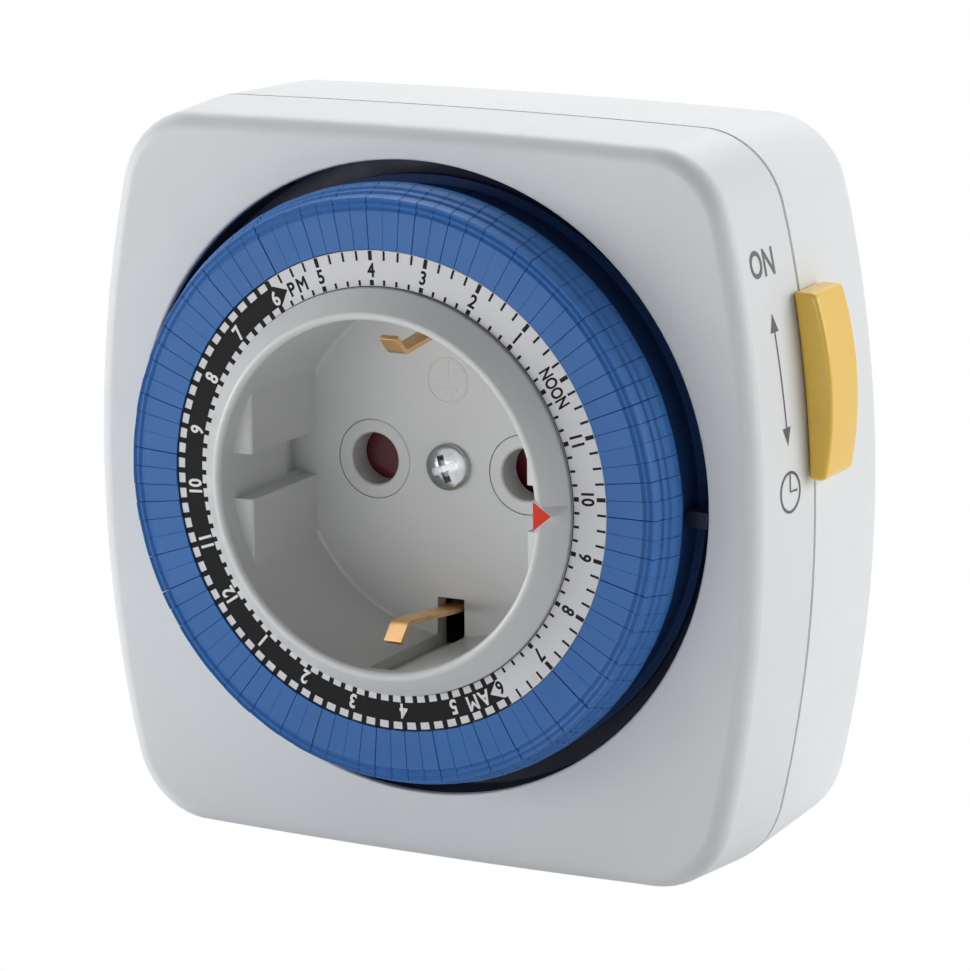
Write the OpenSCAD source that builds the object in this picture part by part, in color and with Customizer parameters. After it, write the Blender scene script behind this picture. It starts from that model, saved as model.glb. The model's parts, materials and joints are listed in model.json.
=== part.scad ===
// Plug-in timer switch with a 24-hour dial of pressed tappets round an earthed mains socket.
// Every piece is drawn as it lies on the bench, plug down: x to the right, y towards the top
// of the dial and z out of the wall. stand() then turns the piece upright, front to -Y.
// The origin is the middle of the plug's face, between the pins.

/* [Casing] */
// Casing on the left and right of the opening, out to the parting seam
side_border = 6.9; // [6.2:0.1:9]
// Casing above the opening; below it there is twice axis_rise more
top_border = 4.1; // [3.9:0.1:7]
// Depth of the casing from its back to its front face
casing_d = 31.5; // [31:0.5:36]
// How far the dial's axis lies above the middle of the casing
axis_rise = 2; // [1.6:0.1:2.2]
// Depth of the front cover, from its face back to the seam
front_d = 12; // [11.6:0.2:12.6]
// Wall of both covers
wall = 2; // [1.6:0.1:2.2]
// Radius of the bulged left and right sides
side_r = 146; // [140:1:220]
// Radius of the nearly flat top and bottom
top_r = 1200; // [800:10:2000]
// Radius of the four upright corners
corner_r = 10; // [8.5:0.5:11]
// Radius of the edges round the front and the back
edge_r = 3; // [2:0.1:3.4]
// Draft of the sides, in degrees
draft = 2.2; // [1:0.1:2.4]

/* [Plug] */
// How far the plug stands out of the back of the casing
plug_len = 17.5; // [17:0.1:18.5]
// Radius of the plug's round body
plug_r = 18.6; // [18.2:0.1:18.8]
// Depth of the guide flats in the plug's sides
flat_depth = 1.8; // [1.6:0.1:2]
// Distance between the two pins
pin_pitch = 19; // [18.8:0.1:19.2]
// Diameter of a pin
pin_d = 4.8; // [4.6:0.1:4.9]
// Length of a pin in front of the plug's face
pin_len = 19; // [18:0.5:19.5]

/* [Socket] */
// Inner radius of the round well
well_r = 19.4; // [19.2:0.1:19.6]
// Depth of the well from its lip to its floor
well_d = 17.25; // [17:0.05:17.5]
// How far the lip stands in front of the casing's face
lip_rise = 9.5; // [9.2:0.1:10]
// Width of the well's wall and sloping rim
rim_w = 3.15; // [3:0.05:3.4]
// Distance from the axis to the guide flats inside the well
guide_flat = 17; // [16.9:0.1:17.4]
// Radius of a pin hole in the floor
pin_hole_r = 2.95; // [2.8:0.05:3.1]
// Radius of the round bosses that hold the pin holes
boss_r = 4.5; // [4.2:0.1:4.8]
// Turn that opens the shutter, in degrees
shutter_turn = 40; // [39:0.5:42]

/* [Dial] */
// Dark gap between the ring of tappets and the opening in the front cover
ring_gap = 2; // [1.8:0.1:2.2]
// Width of the printed scale
scale_w = 4; // [3.8:0.05:4.4]
// How far the scale stands in front of the casing's face
scale_rise = 6.3; // [6.2:0.05:6.6]
// Length of a tappet's head, from the scale to the edge of the ring
head_len = 6.85; // [6.5:0.05:7.2]
// Tappets round the dial, one for each quarter of an hour
tappet_count = 96; // [96]
// Travel of a pressed tappet
tappet_travel = 3; // [2.6:0.1:3.1]
// Time of day under the pointer, in hours
time_shown = 9.74; // [9.55:0.01:9.74]

/* [Drive] */
// Teeth of the dial's gear
dial_teeth = 96; // [96]
// How far the pitch circle of the dial's gear lies inside the ring of tappets
gear_in = 2.2; // [2:0.05:2.4]
// Module of the small gears
train_module = 0.35; // [0.34:0.005:0.355]
// Teeth of each small pinion
pinion_teeth = 10; // [10]
// Teeth of each wheel that a small pinion drives
wheel_teeth = 54; // [54]
// Radius of the fixed spindles
spindle_r = 0.75; // [0.6:0.05:0.8]
// Outer radius of the motor's can
motor_r = 12.2; // [11.8:0.1:12.3]
// Height of the motor
motor_h = 9.6; // [9.2:0.1:9.8]

/* [Override slider] */
// Length of the slider's grip
slider_len = 20.4; // [20:0.2:23]
// Width of the slider's grip
slider_w = 7.2; // [6.4:0.2:7.4]
// How far the grip's crown stands out of the casing's side
slider_rise = 2.9; // [2.4:0.1:3.4]
// Radius of the grip's crown
crown_r = 40; // [30:1:50]
// Travel of the slider from clock to ON
slider_travel = 5.5; // [4.5:0.1:5.6]

/* [Hidden] */
$fn = 96;
eps = 0.01;
fit = 0.05;                             // running clearance between round parts
free = 0.3;                             // free space between parts that turn past each other

// the rings round the axis, each seated round the one before it
rim_r = well_r + rim_w;                 // outer edge of the well's rim
scale_r = rim_r + scale_w;              // outer edge of the scale
ring_r = scale_r + head_len;            // outer edge of the tappets
opening_r = ring_r + ring_gap;          // opening in the front cover
casing_w = 2 * (opening_r + side_border);           // width at the seam
casing_h = 2 * (opening_r + axis_rise + top_border);    // height at the seam
plug_flat = plug_r - flat_depth;        // distance from the axis to the plug's flats

z_back = plug_len;                      // back of the casing
z_face = plug_len + casing_d;           // front face
z_seam = z_face - front_d;              // parting seam
z_base = z_back + wall;                 // inside of the back
z_lip = z_face + lip_rise;              // front of the well's lip
z_floor = z_lip - well_d;               // floor of the well
floor_t = 2;
z_under = z_floor - floor_t;            // underside of the floor
z_scale = z_face + scale_rise;          // printed face of the scale ring
z_ring = z_scale + 0.2;                 // front face of the tappets
z_deck = z_face - 5;                    // front of the surround's plate
deck_t = 1.4;
z_plate = z_deck - deck_t;              // back of the surround's plate

// the four corners of the casing: where a side's arc and a top's arc meet
core_s = side_r - corner_r;
core_t = top_r - corner_r;
side_at = [casing_w / 2 - side_r, 0];
top_at = [0, casing_h / 2 - top_r];
corner_at = let(v = top_at - side_at, d = norm(v), u = v / d,
                a = (core_s ^ 2 - core_t ^ 2 + d ^ 2) / (2 * d), h = sqrt(core_s ^ 2 - a ^ 2))
            side_at + a * u + h * [-u[1], u[0]];
post_in = 1.5;                          // screw posts stand this far outside the corner centres
post_at = corner_at + [post_in, post_in];
column_r = 4.2;                         // the rear cover's screw posts
POSTS = [for (sx = [-1, 1], sy = [-1, 1]) [sx * post_at[0], sy * post_at[1] - axis_rise]];

// dial: the mark of each hour, and the tappet that is under the pointer
hours = 24;
per_hour = tappet_count / hours;
tappet_pitch = 360 / tappet_count;
midnight = -15 * time_shown;            // angle of the midnight mark
acting = floor(time_shown * per_hour);  // the tappet under the pointer
acting_angle = midnight + tappet_pitch * (acting + 0.5);
tube_r = rim_r - 0.65;                  // the well's tube, on which the dial turns
bore_r = tube_r + 0.15;                 // the dial's bore
tappet_gap = 0.12;                      // dark line between two tappets
head_t = 1.3;                           // thickness of a tappet's head
skirt_h = 5.1;                          // height of a tappet's skirt
skirt_t = 0.9;
stem_r0 = scale_r + 2.05;               // the stems' ring, inner and outer radius
stem_r1 = stem_r0 + 1.4;
stem_w = 1.24;
stem_l = 7.1;
rib_w = 0.52;                           // rib between two stems
z_ledge = z_ring - head_t - tappet_travel - 0.2;    // ledge that a pressed tappet meets
z_flange = z_deck + free - 0.1;         // flange that rests on the surround
z_drum = z_plate - 3.1;                 // back of the drum
gear_face = 2.6;                        // width of the dial's gear

// drive: the drive pinion meshes with the dial's gear at drive_angle
pressure = 28;
drive_angle = 215;
dial_pitch_r = ring_r - gear_in;
dial_module = 2 * dial_pitch_r / dial_teeth;
drive_r = dial_module * (dial_teeth + pinion_teeth) / 2;
train_step = train_module * (pinion_teeth + wheel_teeth) / 2;
function polar(r, a) = r * [cos(a), sin(a)];
drive_at = polar(drive_r, drive_angle);
gear3_at = drive_at + polar(train_step, 75);
gear2_at = gear3_at + polar(train_step, 100);
gear1_at = gear2_at + polar(train_step, 75);
// the motor lies at 45 degrees from the first gear, or lower where a screw post needs the room
to_post = [-post_at[0], post_at[1] - axis_rise] - gear1_at;
post_room = motor_r + column_r + free;
rotor_angle = min(45, atan2(to_post[1], to_post[0]) -
    acos((to_post * to_post + train_step ^ 2 - post_room ^ 2) / (2 * norm(to_post) * train_step)));
rotor_at = gear1_at + polar(train_step, rotor_angle);
function grid(p) = [round(2 * p[0]) / 2, round(2 * p[1]) / 2];  // to the half millimetre
bridge_foot = grid(drive_at + [13.7, 2.8]);     // post that carries the gear plate and the bridge
z_motor = z_base + 0.5;                 // back of the motor
z_gears = z_motor + motor_h + 0.7;      // back of the gear plate
gear_plate_t = 1;
layer_t = 1.5;                          // pitch of the gear layers
wheel_t = 1.2;
pinion_h = 1.6;
function layer(i) = z_gears + gear_plate_t + 0.3 + layer_t * i;
z_bridge = z_drum - 1.5;                // back of the bridge over the gears
bridge_t = 1;

// contacts and pins
pin_r = pin_d / 2;
neck_pin_r = pin_r - 0.2;
pin_x = pin_pitch / 2;
plug_face_t = 3;
cavity_r = 13.8;                        // cavity inside the plug
strip_t = 0.8;                          // brass strip of the earth parts
clip_w = 2.2;                           // earth clips: width and thickness of the strip
clip_t = 0.6;
clip_room = 0.6;                        // room beside a clip in its channel
cup_r = pin_x + boss_r + 1;             // the contact carrier's edge, round the bosses
earth_r = cup_r + 1.3;                  // earth clips' distance from the axis
strip_r = plug_r - 2.3;                 // the plug's earth strips' distance from the axis
fork_w = 4.6;
fork_t = 0.5;
z_fork = z_base + 1.9;                  // foot of the socket contacts
housing_x = 13.5;
housing_y = 5.4;
z_cup = z_under - 2.95;                 // top of the contact housing
shutter_t = 1.3;
hub_r = 2.6;
screw_r = 1.45;

// switch
nose_travel = 1.4;                      // the plunger's travel for a fully pressed tappet
nose_gap = 1.8;                         // free travel before a tappet meets the nose
contact_gap = 1.7;                      // open gap between the switch contacts
leaf_x = opening_r + 0.6;                // the leaf lies outside the ring
leaf_root = -24;
z_leaf = z_base + 10.4;                 // contact leaf at rest
leaf_t = 0.3;
slider_y0 = 2.1;                        // lower end of the grip
z_slider = z_seam + 1.5;                // front edge of the grip

casing_grey = [0.86, 0.87, 0.88];
well_grey = [0.84, 0.84, 0.82];
tappet_blue = [0.25, 0.47, 0.75];
drum_blue = [0.22, 0.42, 0.68];
slate = [0.10, 0.11, 0.14];
natural = [0.92, 0.90, 0.84];
steel = [0.72, 0.73, 0.75];
brass = [0.85, 0.66, 0.33];
copper = [0.80, 0.42, 0.22];

HOURS = [for (h = [0 : hours - 1]) str("tappets_", h < 10 ? "0" : "", h)];

// ---- shared shapes ----

module stand() rotate([90, 0, 0]) children();

module disc(r, z0, z1) translate([0, 0, z0]) cylinder(r = r, h = z1 - z0);

module block(a, b) translate(a) cube(b - a);

module washer(r_out, r_in, z0, z1) difference() {
    disc(r_out, z0, z1);
    disc(r_in, z0 - 1, z1 + 1);
}

// a strip of sheet metal: a path of points with a thickness, mitred at the bends
function unit(v) = v / norm(v);
function side(v) = [-v[1], v[0]];
function mitre(p, i) =
    let(n = len(p) - 1,
        a = unit(p[max(i, 1)] - p[max(i, 1) - 1]),
        b = unit(p[min(i + 1, n)] - p[min(i + 1, n) - 1]),
        m = side(a) + side(b))
    2 * m / (m * m);
function ribbon(p, t) = concat(
    [for (i = [0 : len(p) - 1]) p[i] + mitre(p, i) * t / 2],
    [for (i = [len(p) - 1 : -1 : 0]) p[i] - mitre(p, i) * t / 2]);

// path in y and z, width along x
module strip_yz(path, t, w, x = 0) translate([x - w / 2, 0, 0]) rotate([90, 0, 90])
    linear_extrude(w) polygon(ribbon(path, t));

// path in x and z, width along y
module strip_xz(path, t, w, y = 0) translate([0, y + w / 2, 0]) rotate([90, 0, 0])
    linear_extrude(w) polygon(ribbon(path, t));

// a round wire along a path of points
function wire_ring(p, i, r, sides) =
    let(n = len(p) - 1,
        d = unit(p[min(i + 1, n)] - p[max(i - 1, 0)]),
        ref = abs(d[2]) > 0.9 ? [1, 0, 0] : [0, 0, 1],
        u = unit(cross(d, ref)),
        v = cross(d, u))
    [for (k = [0 : sides - 1]) p[i] + r * (cos(360 * k / sides) * u + sin(360 * k / sides) * v)];

module wire(path, r, sides = 8) {
    n = len(path);
    polyhedron(
        points = [for (i = [0 : n - 1]) each wire_ring(path, i, r, sides)],
        faces = concat(
            [[for (k = [sides - 1 : -1 : 0]) k]],
            [[for (k = [0 : sides - 1]) (n - 1) * sides + k]],
            [for (i = [0 : n - 2], k = [0 : sides - 1])
                let(a = i * sides + k, b = i * sides + (k + 1) % sides)
                [a, b, b + sides, a + sides]]));
}

// ---- gears ----

function inv(a) = tan(a) * 180 / PI - a;

// half the angle of a tooth at radius r
function flank(m, n, r, slack) =
    let(rp = m * n / 2, rb = rp * cos(pressure), ra = max(r, rb))
    90 / n - slack / rp * 90 / PI + inv(pressure) - inv(acos(rb / ra));

function tooth(m, n, slack, steps) =
    let(rp = m * n / 2, tip = rp + 0.85 * m, root = rp - 1.15 * m)
    concat([for (i = [0 : steps]) let(r = root + (tip - root) * i / steps)
                [r, -flank(m, n, r, slack)]],
           [for (i = [steps : -1 : 0]) let(r = root + (tip - root) * i / steps)
                [r, flank(m, n, r, slack)]]);

// slack is the play taken off each tooth at the pitch circle
module gear_shape(m, n, slack = 0.06, steps = 3) polygon(
    [for (k = [0 : n - 1]) each [for (q = tooth(m, n, slack, steps)) polar(q[0], q[1] + 360 * k / n)]]);

module gear(m, n, z0, h, steps = 3) translate([0, 0, z0]) linear_extrude(h)
    gear_shape(m, n, steps = steps);

// turn of a gear with nb teeth that meshes with a gear of na teeth turned by a,
// when it lies in the direction t
function meshed(a, na, nb, t) = t + 180 + (180 - (a - t) * na) / nb;

turn_1 = meshed(0, pinion_teeth, wheel_teeth, rotor_angle + 180);
turn_2 = meshed(turn_1, pinion_teeth, wheel_teeth, 75 + 180);
turn_3 = meshed(turn_2, pinion_teeth, wheel_teeth, 100 + 180);
turn_4 = meshed(turn_3, pinion_teeth, wheel_teeth, 75 + 180);
turn_drive = meshed(0, dial_teeth, pinion_teeth, drive_angle);

// ---- casing ----

// outline of the casing, moved in by inset: two bulged sides, a nearly flat top and bottom
module outline(inset) translate([0, -axis_rise]) offset(r = corner_r - inset, $fn = 48)
    intersection() {
        for (sx = [-1, 1]) translate([sx * side_at[0], 0]) circle(core_s, $fn = 180);
        intersection_for(sx = [-1, 1]) translate([sx * side_at[0], 0]) circle(core_s, $fn = 180);
        intersection_for(sy = [-1, 1]) translate([0, sy * top_at[1]]) circle(core_t, $fn = 360);
    }

function draft_in(z) = abs(z - z_seam) * tan(draft);

module slab(z, up, inset) translate([0, 0, up ? z : z - eps]) linear_extrude(eps) outline(inset);

// one half of the casing's form, from the seam to its outer face at z_end
module half_form(dir, z_end, inset, r, step) hull() {
    slab(z_seam - (inset > 0 ? dir : 0), dir > 0, inset);
    for (a = [0 : step : 90]) let(z = z_end - dir * r * (1 - sin(a)))
        slab(z, dir < 0, inset + draft_in(z) + r * (1 - cos(a)));
}

module front_form() half_form(1, z_face, 0, edge_r, 18);
module back_form() half_form(-1, z_back, 0, edge_r, 18);

pillar_r = 1.6;
head_r = 2.75;
tongue_h = 1.2;
lip_edge = 0.8;                         // thin edge of the cover round the opening
collar_t = 0.9;                         // wall of the surround's collar

module front_cover() color(casing_grey) stand() difference() {
    union() {
        difference() {
            front_form();
            half_form(1, z_face - wall, wall, 1, 45);
        }
        for (p = POSTS) translate(p) {
            disc(3.2, z_seam, z_face - wall + eps);
            disc(4.4, z_deck + fit, z_face - wall + eps);
        }
    }
    disc(opening_r, z_seam - 1, z_face + 1);
    disc(opening_r + collar_t + 0.15, z_seam - 1, z_face - lip_edge);
    for (p = POSTS) translate(p) disc(screw_r + fit, z_seam - 1, z_deck + 1.5);
    // rebate for the tongue of the rear cover
    translate([0, 0, z_seam - 1]) linear_extrude(tongue_h + 1.1) difference() {
        outline(wall / 2);
        outline(wall + 1);
    }
}

// round plug with a flat on each side, a rib along each flat, and a collar that lies on the back
collar_r = plug_r + 1.4;
collar_h = 1.2;

module plug_insert() color(casing_grey) stand() difference() {
    rotate_extrude() polygon([[0, 0], [plug_r - 1, 0], [plug_r, 1], [plug_r, z_base + fit],
        [collar_r, z_base + fit], [collar_r, z_base + fit + collar_h],
        [0, z_base + fit + collar_h]]);
    disc(cavity_r, plug_face_t, z_base + 2);
    // flats, each with a rib along its middle
    for (s = [0, 180]) rotate([0, 0, s]) difference() {
        block([plug_flat, -10, -1], [plug_r + 1, 10, z_back]);
        block([0, -2.2, -2], [plug_r - 0.3, 2.2, z_back + 1]);
    }
    for (s = [-1, 1]) translate([s * pin_x, 0]) disc(neck_pin_r + fit, -1, plug_face_t + 1);
    // grooves for the earth strips, open at the side, and slots for them to the inside
    for (s = [0, 180]) rotate([0, 0, s]) {
        block([-3.1, strip_r - 0.8, -1], [3.1, plug_r + 1, z_back - 1.2]);
        block([-3.1, strip_r - 0.8, 1], [3.1, strip_r + 1, z_base + 3]);
    }
    // room for the foot of the contact housing, for the strips' bar and for the motor
    block([-housing_x - 3.3, -housing_y - 0.2, z_base],
          [housing_x + 3.3, housing_y + 0.2, z_base + 3]);
    block([-3.1, -strip_r - 1, z_base - 0.1], [3.1, strip_r + 1, z_base + 3]);
    translate(rotor_at) disc(motor_r + 0.3, z_base, z_base + 3);
    // way out for the live busbar
    block([pin_x - 1.8, -collar_r - 1, z_base], [pin_x + 1.8, 0, z_base + 3]);
}

// pillars that press the surround against the front cover
pillar_top = casing_h / 2 - axis_rise - wall - 2.1;
pillar_low = -casing_h / 2 - axis_rise + wall + 2.3;
beside_motor = rotor_at[0] +
    sqrt(max(0, (motor_r + pillar_r + free) ^ 2 - (pillar_top - rotor_at[1]) ^ 2));
PILLARS = [[max(-10, beside_motor), pillar_top], [10, pillar_top], [-12, pillar_low], [12, pillar_low]];
GEAR_PILLARS = [grid(drive_at + [-2.3, -0.2]), grid(gear2_at + [-0.7, -4.1]), bridge_foot];
slot_y0 = slider_y0 + 5.4;              // stem of the slider, lower and upper end
slot_y1 = slot_y0 + 9;
stem_z0 = z_seam - 3.8;

module rear_cover() color(casing_grey) stand() difference() {
    union() {
        difference() {
            back_form();
            half_form(-1, z_base, wall, 1, 45);
        }
        // tongue that enters the front cover
        translate([0, 0, z_seam - eps]) linear_extrude(tongue_h) difference() {
            outline(wall / 2 + 0.1);
            outline(wall);
        }
        for (p = POSTS) translate(p) disc(column_r, z_back + 1, z_seam);
        for (p = PILLARS) translate(p) disc(pillar_r, z_base - 1, z_plate);
        for (p = GEAR_PILLARS) translate(p) disc(1.5, z_base - 1, z_gears);
        translate([leaf_x, leaf_root]) disc(1.2, z_base - 1, z_leaf - 0.65);
        translate([leaf_x, 0]) disc(1.2, z_base - 1, z_fixed - 0.2);
    }
    // opening for the plug insert
    disc(plug_r + fit, z_back - 1, z_base + 1);
    for (p = POSTS) translate(p) {
        disc(head_r + 0.4, z_back - 1, z_back + 6);
        disc(screw_r + 0.15, z_back, z_seam + 1);
    }
    // slot for the stem of the slider, open to the seam
    block([housing_x + 16, slot_y0 - 0.2, stem_z0 - 0.2],
          [casing_w, slot_y1 + slider_travel + 0.2, z_seam + tongue_h + 1]);
    // fine shadow groove along the seam
    translate([0, 0, z_seam - 0.3]) linear_extrude(0.3) difference() {
        outline(-2);
        outline(0.35);
    }
}

// cross recess of a screw head, cut from its top at z downwards or upwards
module cross_recess(z, depth, dir) for (a = [0, 90]) rotate([0, 0, a])
    block([-1.5, -0.3, dir > 0 ? z - depth : z - 1], [1.5, 0.3, dir > 0 ? z + 1 : z + depth]);

module casing_screws() color(steel) stand() for (p = POSTS) translate(p) difference() {
    union() {
        rotate_extrude() polygon([[0, z_back + 3.9], [1.6, z_back + 3.9], [head_r, z_back + 4.6],
            [head_r, z_back + 6], [0, z_back + 6]]);
        disc(screw_r, z_back + 5, z_deck + 1);
    }
    cross_recess(z_back + 3.9, 1.1, -1);
}

// ---- socket ----

module socket_well() color(well_grey) stand() difference() {
    union() {
        // tube with its sloping rim and rounded lip
        rotate_extrude() polygon([[well_r, z_under], [tube_r, z_under], [tube_r, z_scale + 0.1],
            [rim_r, z_scale + 0.1], [rim_r, z_scale + 0.45], [rim_r - 0.3, z_scale + 0.85],
            [well_r + 0.75, z_lip - 0.3], [well_r + 0.5, z_lip - 0.08], [well_r + 0.25, z_lip],
            [well_r + 0.05, z_lip - 0.1], [well_r, z_lip - 0.35]]);
        disc(well_r + 0.5, z_under, z_floor);
        // guide flats on both sides
        intersection() {
            for (s = [-1, 1]) scale([s, 1, 1]) translate([0, 10, 0]) rotate([90, 0, 0])
                linear_extrude(20) polygon([[guide_flat, z_under + 1], [guide_flat, z_lip - 3.2],
                    [well_r + 1, z_lip - 2.9], [well_r + 1, z_under + 1]]);
            disc(well_r + 0.5, z_under, z_lip);
        }
        // pointer: a flat triangle that fades into the rim
        hull() {
            block([well_r + 0.05, -1.6, z_lip - 0.5], [well_r + 0.15, 1.6, z_lip - 0.02]);
            block([well_r + 1.9, -0.05, z_lip - 0.8], [well_r + 2, 0.05, z_lip - 0.5]);
            block([well_r + 0.6, -1.2, z_lip - 2.2], [rim_r - 0.6, 1.2, z_lip - 2.15]);
            block([rim_r - 0.5, -0.3, z_scale + 0.85], [rim_r - 0.2, 0.3, z_scale + 0.9]);
        }
    }
    // groove in the middle of each guide flat
    intersection() {
        for (s = [0, 180]) rotate([0, 0, s])
            block([guide_flat - 2, -2.55, z_floor], [well_r + 1, 2.55, z_lip - 0.5]);
        disc(well_r, z_floor, z_lip);
    }
    for (s = [-1, 1]) {
        translate([s * pin_x, 0]) disc(boss_r + fit, z_under - 1, z_floor + 1);
        // slot and channel for an earth clip
        block([-clip_w / 2 - clip_room, s > 0 ? earth_r - 1.3 : -well_r - 1.3, z_under - 1],
              [clip_w / 2 + clip_room, s > 0 ? well_r + 1.3 : -earth_r + 1.3, z_lip - 1.6]);
    }
    disc(screw_r + 0.15, z_under - 1, z_floor + 1);
}

module contact_carrier() color(well_grey) stand() difference() {
    union() {
        disc(cup_r, z_cup, z_under);
        for (s = [-1, 1]) translate([s * pin_x, 0]) disc(boss_r, z_under - 1, z_floor - 0.02);
    }
    disc(cup_r - 1.2, z_cup - 1, z_cup + shutter_t + 0.25);
    for (s = [-1, 1]) translate([s * pin_x, 0]) disc(pin_hole_r, z_cup, z_floor + 1);
    disc(screw_r + 0.15, z_cup, z_floor);
}

module shutter() color([0.42, 0.06, 0.06]) stand() difference() {
    disc(cup_r - 1.6, z_cup + 0.1, z_cup + 0.1 + shutter_t);
    disc(hub_r + fit, z_cup, z_floor);
    for (s = [0, 180]) rotate([0, 0, s - shutter_turn]) translate([pin_x, 0]) {
        disc(pin_hole_r + 0.25, z_cup, z_floor);
        // ramp that a pin slides down as it turns the shutter
        translate([0, 0, z_cup + 0.1 + shutter_t]) rotate([0, 0, 90 + shutter_turn / 2])
            translate([8.5, 0, 0]) rotate([0, -7, 0]) block([-8.6, -pin_hole_r, 0], [0, pin_hole_r, 2]);
    }
}

coil_turns = 3;
spring_r = 3.7;
spring_wire = 0.25;

module shutter_spring() color(steel) stand() {
    per_turn = 16;
    wire(concat([for (i = [0 : coil_turns * per_turn]) let(a = 360 * i / per_turn)
            [spring_r * cos(a), spring_r * sin(a), z_cup - 2 + 0.55 * a / 360]],
        [[spring_r + 0.4, 1, z_cup - 0.32], [spring_r + 0.6, 2.2, z_cup - 0.3]]), spring_wire);
}

module contact_housing() color(natural) stand() difference() {
    union() {
        block([-housing_x, -housing_y, z_base + 0.05], [housing_x, housing_y, z_cup - 1]);
        block([-housing_x - 3.1, -housing_y, z_base + 0.05], [housing_x + 3.1, housing_y, z_base + 1.5]);
        disc(cup_r, z_cup - 2.6, z_cup);
        disc(hub_r, z_cup - 1, z_cup + shutter_t + 0.2);
    }
    for (s = [-1, 1]) translate([s * pin_x, 0, 0]) {
        block([-fork_w / 2 - 0.2, -3.7, z_base - 1], [fork_w / 2 + 0.2, 3.7, z_cup - 1.2]);
        disc(pin_hole_r, z_base, z_cup + 1);
    }
    // pocket of the spring, screw hole and tunnel for the earth bars
    difference() {
        disc(spring_r + 1.5, z_cup - 2.4, z_cup + 1);
        disc(hub_r, z_cup - 3, z_cup + 2);
    }
    disc(screw_r + fit, z_fork + 4, z_cup + 3);
    block([-3.2, -housing_y - 1, z_base - 1], [3.2, housing_y + 1, z_base + 2.6]);
    // way in for the fixed contact's tail
    block([pin_x + 1, -1.6, z_fork + 0.2], [housing_x + 4, 1.6, z_fork + 2.4]);
}

module centre_screw() color(steel) stand() difference() {
    union() {
        rotate_extrude() polygon([[0, z_floor + 0.02], [2.65, z_floor + 0.02], [2.65, z_floor + 0.5],
            [2.45, z_floor + 0.95], [1.9, z_floor + 1.35], [1.1, z_floor + 1.6], [0, z_floor + 1.68]]);
        disc(screw_r, z_fork + 5, z_floor + 0.5);
    }
    cross_recess(z_floor + 1.68, 1.1, 1);
}

// two forks of springy brass that grip the pins
module socket_contacts() color(brass) stand() {
    half = [[1, z_fork], [2.7, z_fork], [2.7, z_fork + 2.5], [2.3, z_fork + 9.5], [2.9, z_fork + 12]];
    mirrored = [for (i = [len(half) - 1 : -1 : 0]) [-half[i][0], half[i][1]]];
    for (s = [-1, 1]) strip_yz(concat(mirrored, half), fork_t, fork_w, s * pin_x);
}

module earth_clips() color(brass) stand() {
    z_bar = z_base + 1.35;
    arm = [[0, z_bar], [earth_r, z_bar], [earth_r, z_floor], [earth_r - 1.25, z_lip - 5.8],
           [earth_r + 0.7, z_lip - 4]];
    both = concat([for (i = [len(arm) - 1 : -1 : 1]) [-arm[i][0], arm[i][1]]],
                  [for (i = [1 : len(arm) - 1]) arm[i]]);
    strip_yz(both, clip_t, clip_w);
}

module plug_earth_strips() color(brass) stand() {
    z_bar = z_base + 0.5;
    arm = [[0, z_bar], [strip_r, z_bar], [strip_r, z_back - 3], [strip_r + 1.2, z_back - 8],
           [strip_r + 1.2, 6], [strip_r + 0.1, 2.2], [strip_r + 0.1, 1.2]];
    both = concat([for (i = [len(arm) - 1 : -1 : 1]) [-arm[i][0], arm[i][1]]],
                  [for (i = [1 : len(arm) - 1]) arm[i]]);
    strip_yz(both, strip_t, 5.6);
}

// a plug pin with a domed tip, a neck through the plug's face, a collar behind it and a rivet stub
module plug_pin(x, z_stub) color(brass) stand() translate([x, 0]) {
    tip = 1.6;
    dome = [for (i = [0 : 6]) let(a = 15 * i)
        [(pin_r - tip) + tip * sin(a), -pin_len + tip * (1 - cos(a))]];
    rotate_extrude() polygon(concat([[0, -pin_len]], dome, [[pin_r, 0], [neck_pin_r, 0],
        [neck_pin_r, plug_face_t + 0.05], [pin_r + 1, plug_face_t + 0.05],
        [pin_r + 1, plug_face_t + 1.5], [1.5, plug_face_t + 1.5], [1.5, z_stub], [0, z_stub]]));
}

// ---- dial ----

module dial_surround() color(slate) stand() difference() {
    union() {
        translate([0, 0, z_plate]) linear_extrude(deck_t) outline(wall + 0.8);
        disc(opening_r + collar_t, z_plate, z_face - lip_edge - fit);
    }
    disc(opening_r, z_deck, z_face);
    disc(dial_pitch_r + 0.85 * dial_module + 0.3, z_plate - 1, z_face);
    for (p = POSTS) translate(p) disc(3.2 + 0.2, z_plate - 1, z_face);
    // window near the top of the collar
    rotate([0, 0, 98]) rotate_extrude(angle = 21) translate([opening_r - 1, z_deck + 0.6])
        square([3, lip_rise]);
    // window and guide of the switch plunger
    rotate([0, 0, acting_angle]) {
        block([opening_r - 1, -1.2, z_deck + 0.4], [opening_r + 3, 1.2, z_face]);
        block([opening_r + 1.2, -1.6, z_plate - 1], [opening_r + 3, 1.6, z_face]);
    }
    translate(drive_at) disc(spindle_r + fit, z_plate - 1, z_plate + 1);
}

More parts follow.
